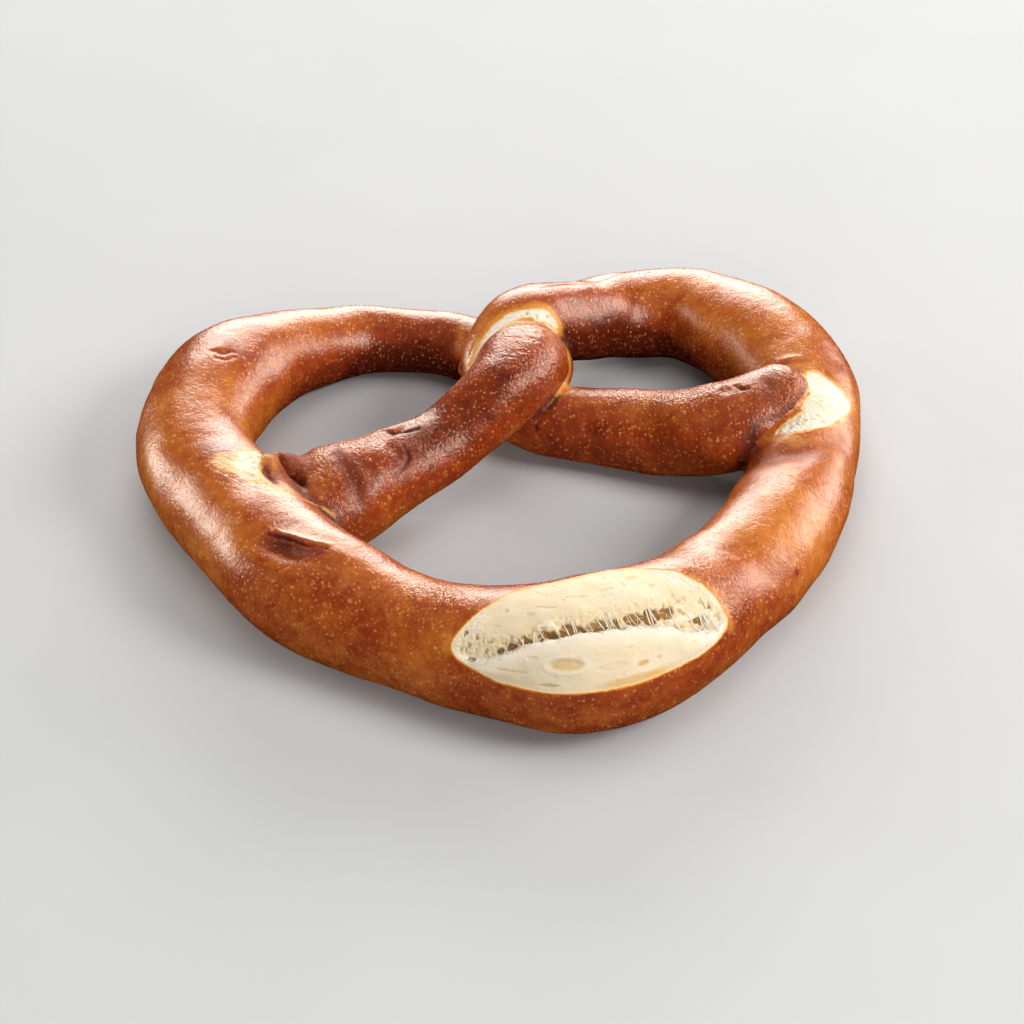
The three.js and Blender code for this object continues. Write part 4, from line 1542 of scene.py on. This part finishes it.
def thread_tree():
    """Thin wavy tubes along the edges of a mesh"""
    sockets = (("Radius", "Float"), ("Sides", "Int"), ("Waviness", "Float"), ("Wave Length", "Float"),
               ("Seed", "Int"), ("Material", "Material"))
    tree, field = new_tree("crumb threads", sockets)
    curve = add_node(tree, "GeometryNodeMeshToCurve", {}, {"Mesh": field["Geometry"]})
    place = add_node(tree, "GeometryNodeInputPosition")
    pace = field["Wave Length"].maths("POWER", -1)
    inputs = {"Vector": place, "W": field["Seed"], "Scale": pace, "Detail": 1.0}
    push = add_node(tree, "ShaderNodeTexNoise", {"noise_dimensions": "4D"}, inputs, "Color")
    inputs = {"Geometry": curve, "Offset": centred(tree, push, field["Waviness"])}
    wavy = add_node(tree, "GeometryNodeSetPosition", {}, inputs)
    girth = add_node(tree, "GeometryNodeInputNamedAttribute", {"data_type": "FLOAT"}, {"Name": "girth"})
    inputs = {"Resolution": field["Sides"], "Radius": 1.0}
    circle = add_node(tree, "GeometryNodeCurvePrimitiveCircle", {}, inputs)
    inputs = {"Curve": wavy, "Profile Curve": circle, "Scale": girth * field["Radius"], "Fill Caps": True}
    tube = add_node(tree, "GeometryNodeCurveToMesh", {}, inputs)
    end_tree(tree, tube, field["Material"])
    return tree


# Blisters are baked less than the crust round them, and none is where the shade painted in a crease is darker
# than this
BLISTER_PALE = 0.22
BLISTER_CREASE = 0.3


def blister_tree():
    """Low domes scattered over the bare part of the crust"""
    sockets = (("Density", "Float"), ("Smallest", "Float"), ("Largest", "Float"), ("Flatness", "Float"),
               ("Seed", "Int"), ("Material", "Material"))
    tree, field = new_tree("crust blisters", sockets)
    bare = add_node(tree, "GeometryNodeInputNamedAttribute", {"data_type": "FLOAT"}, {"Name": "bare"})
    inputs = {"Mesh": field["Geometry"], "Density": field["Density"] * bare, "Seed": field["Seed"]}
    points = add_node(tree, "GeometryNodeDistributePointsOnFaces", {}, inputs, "Points")
    turn = Field(tree, points.socket.node.outputs["Rotation"])
    inputs = {"Max": 1.0, "Seed": field["Seed"]}
    lot = add_node(tree, "FunctionNodeRandomValue", {"data_type": "FLOAT"}, inputs, 1)
    size = lot.maths("POWER", 2.5) * (field["Largest"] - field["Smallest"]) + field["Smallest"]
    inputs = {0: size, 1: size, 2: size * field["Flatness"]}
    scale = add_node(tree, "ShaderNodeCombineXYZ", {}, inputs)
    ball = add_node(tree, "GeometryNodeMeshUVSphere", {}, {"Segments": 10, "Rings": 6, "Radius": 1.0}, "Mesh")
    inputs = {"Points": points, "Instance": ball, "Rotation": turn, "Scale": scale}
    domes = add_node(tree, "GeometryNodeInstanceOnPoints", {}, inputs)
    end_tree(tree, domes, field["Material"])
    return tree


# Where threads and hairs start along the burst, in mm, and the points of each
WALL_SPAN = (-17, 22.5)
LIP_SPAN = (-21, 23.5)
KNOTS = 5


def strands(name, starts, ends, sag, girths):
    """A mesh of bent edge paths between pairs of places, for the threads"""
    share = np.linspace(0, 1, KNOTS)
    arch = 4 * share * (1 - share)
    middle = starts[:, None] + (ends - starts)[:, None] * share[None, :, None]
    points = middle + sag[:, None] * arch[None, :, None]
    count = len(starts)
    mesh = bpy.data.meshes.new(name)
    first = np.arange(count)[:, None] * KNOTS + np.arange(KNOTS - 1)
    edges = np.stack([first, first + 1], axis=-1).reshape(-1, 2)
    mesh.from_pydata((points.reshape(-1, 3) * MM).tolist(), edges.tolist(), [])
    taper = 1 - 0.55 * np.abs(2 * share - 1) ** 3
    set_value(mesh, "girth", (girths[:, None] * taper).ravel())
    piece = bpy.data.objects.new(name, mesh)
    bpy.context.scene.collection.objects.link(piece)
    for key, value in (("rim", 3.0), ("torn", 0.6), ("hollow", 0.0), ("pore", 0.0), ("gold", 0.0)):
        set_value(mesh, key, np.full(count * KNOTS, value))
    for key in ("bake", "wrinkle", "warm", "crease"):
        set_value(mesh, key, np.zeros(count * KNOTS))
    set_vector(mesh, "straight", points.reshape(-1, 3) * MM)
    return piece


def belly_threads(points, x, y):
    """Threads across the torn wall, and short hairs along the lip"""
    look = bpy.context.scene.pretzel_crumb
    draw = np.random.default_rng(look.seed)
    out = grid_normals(points)
    step = x[0, 1] - x[0, 0]

    def at(px, py):
        column = np.clip(((px - x[0, 0]) / step).astype(int), 0, x.shape[1] - 1)
        row = np.clip(((py - y[0, 0]) / step).astype(int), 0, x.shape[0] - 1)
        return points[row, column], out[row, column]

    count = look.threads
    px = draw.uniform(*WALL_SPAN, count)
    lip = lip_at(px)
    top = wall_top_at(px)
    low, low_out = at(px, lip - 0.15)
    high, high_out = at(px + draw.normal(0, 0.9, count), lip + (top - lip) * draw.uniform(0.45, 0.95, count))
    sag = -draw.uniform(0, 0.5, (count, 1)) * low_out
    spans = (low + 0.05 * low_out, high - 0.05 * high_out, sag, draw.uniform(0.6, 1.6, count))
    count = look.hairs
    px = draw.uniform(*LIP_SPAN, count)
    lip = lip_at(px) + draw.uniform(-1.1, 0.25, count)
    root, root_out = at(px, lip)
    tip, _ = at(px + draw.normal(0, 0.35, count), lip + draw.uniform(0.15, 0.75, count))
    lift = draw.uniform(0.05, 0.3, (count, 1))
    hairs = (root - 0.05 * root_out, tip + lift * root_out, 0.1 * root_out, draw.uniform(0.4, 1.1, count))
    starts, ends, sags, girths = (np.concatenate(pair) for pair in zip(spans, hairs))
    return strands("thread paths", starts, ends, sags, girths)


# Settings

def colour_property(name, description, default):
    return FloatVectorProperty(
        name=name, description=description, default=default, subtype="COLOR", min=0, max=1
    )


def length_property(name, description, default):
    return FloatProperty(name=name, description=description, default=default, unit="LENGTH")


def angle_property(name, description, degrees):
    return FloatProperty(name=name, description=description, default=math.radians(degrees), subtype="ANGLE")


class PretzelCrust(bpy.types.PropertyGroup):
    """Fineness, gloss and colours of the crust"""

    pitch: FloatProperty(name="Pitch", description="Spacing of the crust's points in mm", default=0.85)
    gloss: FloatProperty(name="Gloss", description="Weight of the sheen", default=0, min=0, max=1)
    blisters: FloatProperty(name="Blisters", description="Blisters on a square metre", default=34000, min=0)
    smallest: length_property("Smallest", "Radius of the smallest blister", 0.0003)
    largest: length_property("Largest", "Radius of the largest blister", 0.0006)
    flatness: FloatProperty(name="Flatness", description="Height of a blister to its radius", default=0.16)
    seed: IntProperty(name="Seed", description="Seed of the blisters", default=9)
    golden: colour_property("Golden", "Crust that was baked least", (0.62, 0.235, 0.04))
    amber: colour_property("Amber", "Lightly baked crust", (0.45, 0.117, 0.015))
    brown: colour_property("Brown", "Well baked crust", (0.27, 0.038, 0.006))
    chestnut: colour_property("Chestnut", "Darkest crust", (0.085, 0.009, 0.003))
    speckle: colour_property("Speckle", "Blisters in the crust", (0.76, 0.35, 0.095))
    rim: colour_property("Rim", "Crust stretched thin near a tear", (0.62, 0.24, 0.035))
    stretched: colour_property("Stretched", "Crust drawn out to the edge of a tear", (0.86, 0.6, 0.22))


class PretzelCrumb(bpy.types.PropertyGroup):
    """Fineness and colours of the crumb"""

    step: FloatProperty(name="Step", description="Spacing of the crumb's points in mm", default=0.17)
    threads: IntProperty(name="Threads", description="Threads across the torn wall", default=40, min=1)
    hairs: IntProperty(name="Hairs", description="Short hairs along the lip", default=320, min=1)
    thread: length_property("Thread", "Radius of a thread", 0.00012)
    sides: IntProperty(name="Sides", description="Sides of a thread", default=5, min=3)
    waviness: length_property("Waviness", "How far a thread is pushed aside", 0.0005)
    wave: length_property("Wave length", "Length of its waves", 0.0009)
    seed: IntProperty(name="Seed", description="Seed of the threads", default=4)
    cream: colour_property("Cream", "Plain crumb", (0.72, 0.635, 0.475))
    straw: colour_property("Straw", "Yellower crumb", (0.72, 0.595, 0.4))
    white: colour_property("White", "Fresh torn crumb", (0.8, 0.74, 0.64))
    pore: colour_property("Pore", "Inside of a pore", (0.66, 0.5, 0.25))
    # Painted shade deep in the caves of the trench
    cave_shade: colour_property("Cave", "Depth of the trench", (0.32, 0.18, 0.065))
    gold: colour_property("Gold", "Crumb tinted by the oven", (0.62, 0.34, 0.07))


class PretzelStage(bpy.types.PropertyGroup):
    """Camera and lights"""

    elevation: angle_property("Elevation", "Camera over the tray", 38)
    azimuth: angle_property("Azimuth", "Camera round the pretzel", -8)
    distance: length_property("Distance", "Camera to the pretzel", 0.7)
    lens: FloatProperty(name="Lens", description="Focal length in mm on a 36 mm sensor", default=107.68)


# Camera and lights: where the camera looks, in metres, and how its picture is shifted
TARGET = (-0.004798, -0.003578, 0.012)
SHIFT = (0.01367, -0.01172)
SENSOR = 36
CLIP = (0.01, 20)
# Lights, all aimed at the pretzel: name, degrees round from the back to the right, degrees up,
# distance, width and height in metres, brightness, and whether the crust mirrors it
LIGHTS = (
    ("back window", 7, 15, 1.2, 0.8, 0.76, 8.2, True),
    ("left window", -60, 7, 1.2, 0.5, 0.5, 11, True),
    ("right window", 67, 13, 1.2, 0.8, 0.56, 6.8, True),
    ("right front lamp", 117, 38, 1.2, 0.5, 0.45, 13, True),
    ("softbox", 0, 88, 1.3, 1.2, 1.2, 1.6, False),
    ("front fill", 188, 25, 1.4, 1.0, 0.6, 4.2, False),
)
LIGHT_COLOUR = (1, 0.95, 0.9)
WORLD_STRENGTH = 0.13
# Half the width of the floor, in mm
FLOOR_HALF = 3000.0


def direction(bearing, rise):
    """The direction at two angles: clockwise from straight ahead, and up"""
    level = math.cos(rise)
    return Vector((math.sin(bearing) * level, math.cos(bearing) * level, math.sin(rise)))


def add_camera():
    stage = bpy.context.scene.pretzel_stage
    data = bpy.data.cameras.new("camera")
    data.lens = stage.lens
    data.sensor_width = SENSOR
    data.shift_x, data.shift_y = SHIFT
    data.clip_start, data.clip_end = CLIP
    camera = bpy.data.objects.new("camera", data)
    bpy.context.scene.collection.objects.link(camera)
    look = direction(-stage.azimuth, -stage.elevation)
    camera.location = Vector(TARGET) - look * stage.distance
    camera.rotation_euler = look.to_track_quat("-Z", "Y").to_euler()
    bpy.context.scene.camera = camera


def add_lights():
    for name, bearing, up, distance, width, height, brightness, mirrored in LIGHTS:
        data = bpy.data.lights.new(name, "AREA")
        data.shape = "RECTANGLE"
        data.size = width
        data.size_y = height
        data.color = LIGHT_COLOUR
        data.energy = brightness * math.pi * width * height
        light = bpy.data.objects.new(name, data)
        out = direction(math.radians(bearing), math.radians(up))
        light.location = out * distance
        light.rotation_euler = (-out).to_track_quat("-Z", "Y").to_euler()
        light.visible_glossy = mirrored
        bpy.context.scene.collection.objects.link(light)
    world = bpy.data.worlds.new("studio")
    world.use_nodes = True
    world.node_tree.nodes["Background"].inputs["Color"].default_value = (1, 1, 1, 1)
    world.node_tree.nodes["Background"].inputs["Strength"].default_value = WORLD_STRENGTH
    world.cycles_visibility.glossy = False
    bpy.context.scene.world = world
    bpy.context.scene.view_settings.view_transform = "Standard"


# Operators

class PRETZEL_OT_crust(bpy.types.Operator):
    """Makes the crust: the whole rope with its crossings, arms and dents"""

    bl_idname = "pretzel.crust"
    bl_label = "Crust"

    def execute(self, context):
        mesh = whole_crust()
        mesh.materials.clear()
        mesh.materials.append(crust_material())
        mesh.polygons.foreach_set("use_smooth", [True] * len(mesh.polygons))
        piece = bpy.data.objects.new("crust", mesh)
        context.scene.collection.objects.link(piece)
        along, clock = get_value(mesh, "along"), get_value(mesh, "clock")
        points = mesh_points(mesh)
        set_value(mesh, "bake", bake_and_shade_of(along, clock, points))
        set_value(mesh, "wrinkle", wrinkle_of(along, clock))
        set_value(mesh, "warm", seams(points))
        set_value(mesh, "sunk", np.zeros(len(points)))
        *_, width, rise = rope.at(np.clip(along, 0, rope.length))
        set_vector(mesh, "straight", straight(along, clock, (width + rise) / 2))
        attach(piece, "root")
        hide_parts("pretzel")
        return {"FINISHED"}


class PRETZEL_OT_belly(bpy.types.Operator):
    """Bursts the belly open: two lobes of crumb with a torn trench between them"""

    bl_idname = "pretzel.belly"
    bl_label = "Belly burst"

    def execute(self, context):
        look = context.scene.pretzel_crumb
        piece, points, x, y = belly_plug()
        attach(piece, "root")
        paths = belly_threads(points, x, y)
        values = {
            "Radius": look.thread, "Sides": look.sides, "Waviness": look.waviness,
            "Wave Length": look.wave, "Seed": look.seed, "Material": crumb_material(),
        }
        threads = grown("crumb_threads", paths, thread_tree(), values)
        delete_object(paths)
        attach(threads, "root")
        return {"FINISHED"}


class PRETZEL_OT_tears(bpy.types.Operator):
    """Tears the crust at both arms' ends and in the curl of the knot"""

    bl_idname = "pretzel.tears"
    bl_label = "Tears"

    def execute(self, context):
        for tear in (right_tear, left_tear, twist_tear):
            piece, _ = tear()
            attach(piece, "root")
        return {"FINISHED"}


class PRETZEL_OT_blisters(bpy.types.Operator):
    """Raises small blisters on the bare crust"""

    bl_idname = "pretzel.blisters"
    bl_label = "Blisters"

    def execute(self, context):
        look = context.scene.pretzel_crust
        crust = bpy.data.objects["crust"]
        points = mesh_points(crust.data)
        covered = smooth(0.1, 0.4, get_value(crust.data, "warm") + get_value(crust.data, "sunk"))
        patches = smooth(-0.2, 0.5, noise(111, *(points / 11).T))
        bare = (1 - covered) * smooth(3, 8, points[:, 2]) * (0.25 + 0.75 * patches)
        bare = bare * (get_value(crust.data, "crease") < BLISTER_CREASE)
        set_value(crust.data, "bare", bare)
        values = {
            "Density": look.blisters, "Smallest": look.smallest, "Largest": look.largest,
            "Flatness": look.flatness, "Seed": look.seed, "Material": crust_material(),
        }
        blisters = grown("crust_blisters", crust, blister_tree(), values)
        bake = get_value(blisters.data, "bake")
        set_value(blisters.data, "bake", np.clip(bake - BLISTER_PALE, 0, 1))
        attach(blisters, "root")
        return {"FINISHED"}


class PRETZEL_OT_stage(bpy.types.Operator):
    """Sets the floor, the camera and the lights"""

    bl_idname = "pretzel.stage"
    bl_label = "Stage"

    def execute(self, context):
        corners = np.array([(-1, -1, 0), (1, -1, 0), (1, 1, 0), (-1, 1, 0)]) * FLOOR_HALF
        floor = mesh_object("floor", corners, [(0, 1, 2, 3)], floor_material())
        floor.visible_glossy = False
        add_camera()
        add_lights()
        return {"FINISHED"}


class PRETZEL_PT_panel(bpy.types.Panel):
    """Lists the settings and the steps"""

    bl_label = "Soft pretzel"
    bl_idname = "PRETZEL_PT_panel"
    bl_space_type = "VIEW_3D"
    bl_region_type = "UI"
    bl_category = "Pretzel"

    def draw(self, context):
        for group in (context.scene.pretzel_crust, context.scene.pretzel_crumb, context.scene.pretzel_stage):
            box = self.layout.box()
            for key in group.__annotations__:
                box.prop(group, key)
        for step in STEPS:
            self.layout.operator(step.bl_idname)


GROUPS = (
    ("pretzel_crust", PretzelCrust), ("pretzel_crumb", PretzelCrumb), ("pretzel_stage", PretzelStage),
)
STEPS = (PRETZEL_OT_crust, PRETZEL_OT_belly, PRETZEL_OT_tears, PRETZEL_OT_blisters, PRETZEL_OT_stage)


def register():
    for name, group in GROUPS:
        bpy.utils.register_class(group)
        setattr(bpy.types.Scene, name, PointerProperty(type=group))
    for step in STEPS + (PRETZEL_PT_panel,):
        bpy.utils.register_class(step)


def unregister():
    for step in reversed(STEPS + (PRETZEL_PT_panel,)):
        bpy.utils.unregister_class(step)
    for name, group in reversed(GROUPS):
        delattr(bpy.types.Scene, name)
        bpy.utils.unregister_class(group)


def main():
    register()
    bpy.ops.pretzel.crust()
    bpy.ops.pretzel.belly()
    bpy.ops.pretzel.tears()
    bpy.ops.pretzel.blisters()
    bpy.ops.pretzel.stage()


if __name__ == "__main__":
    main()
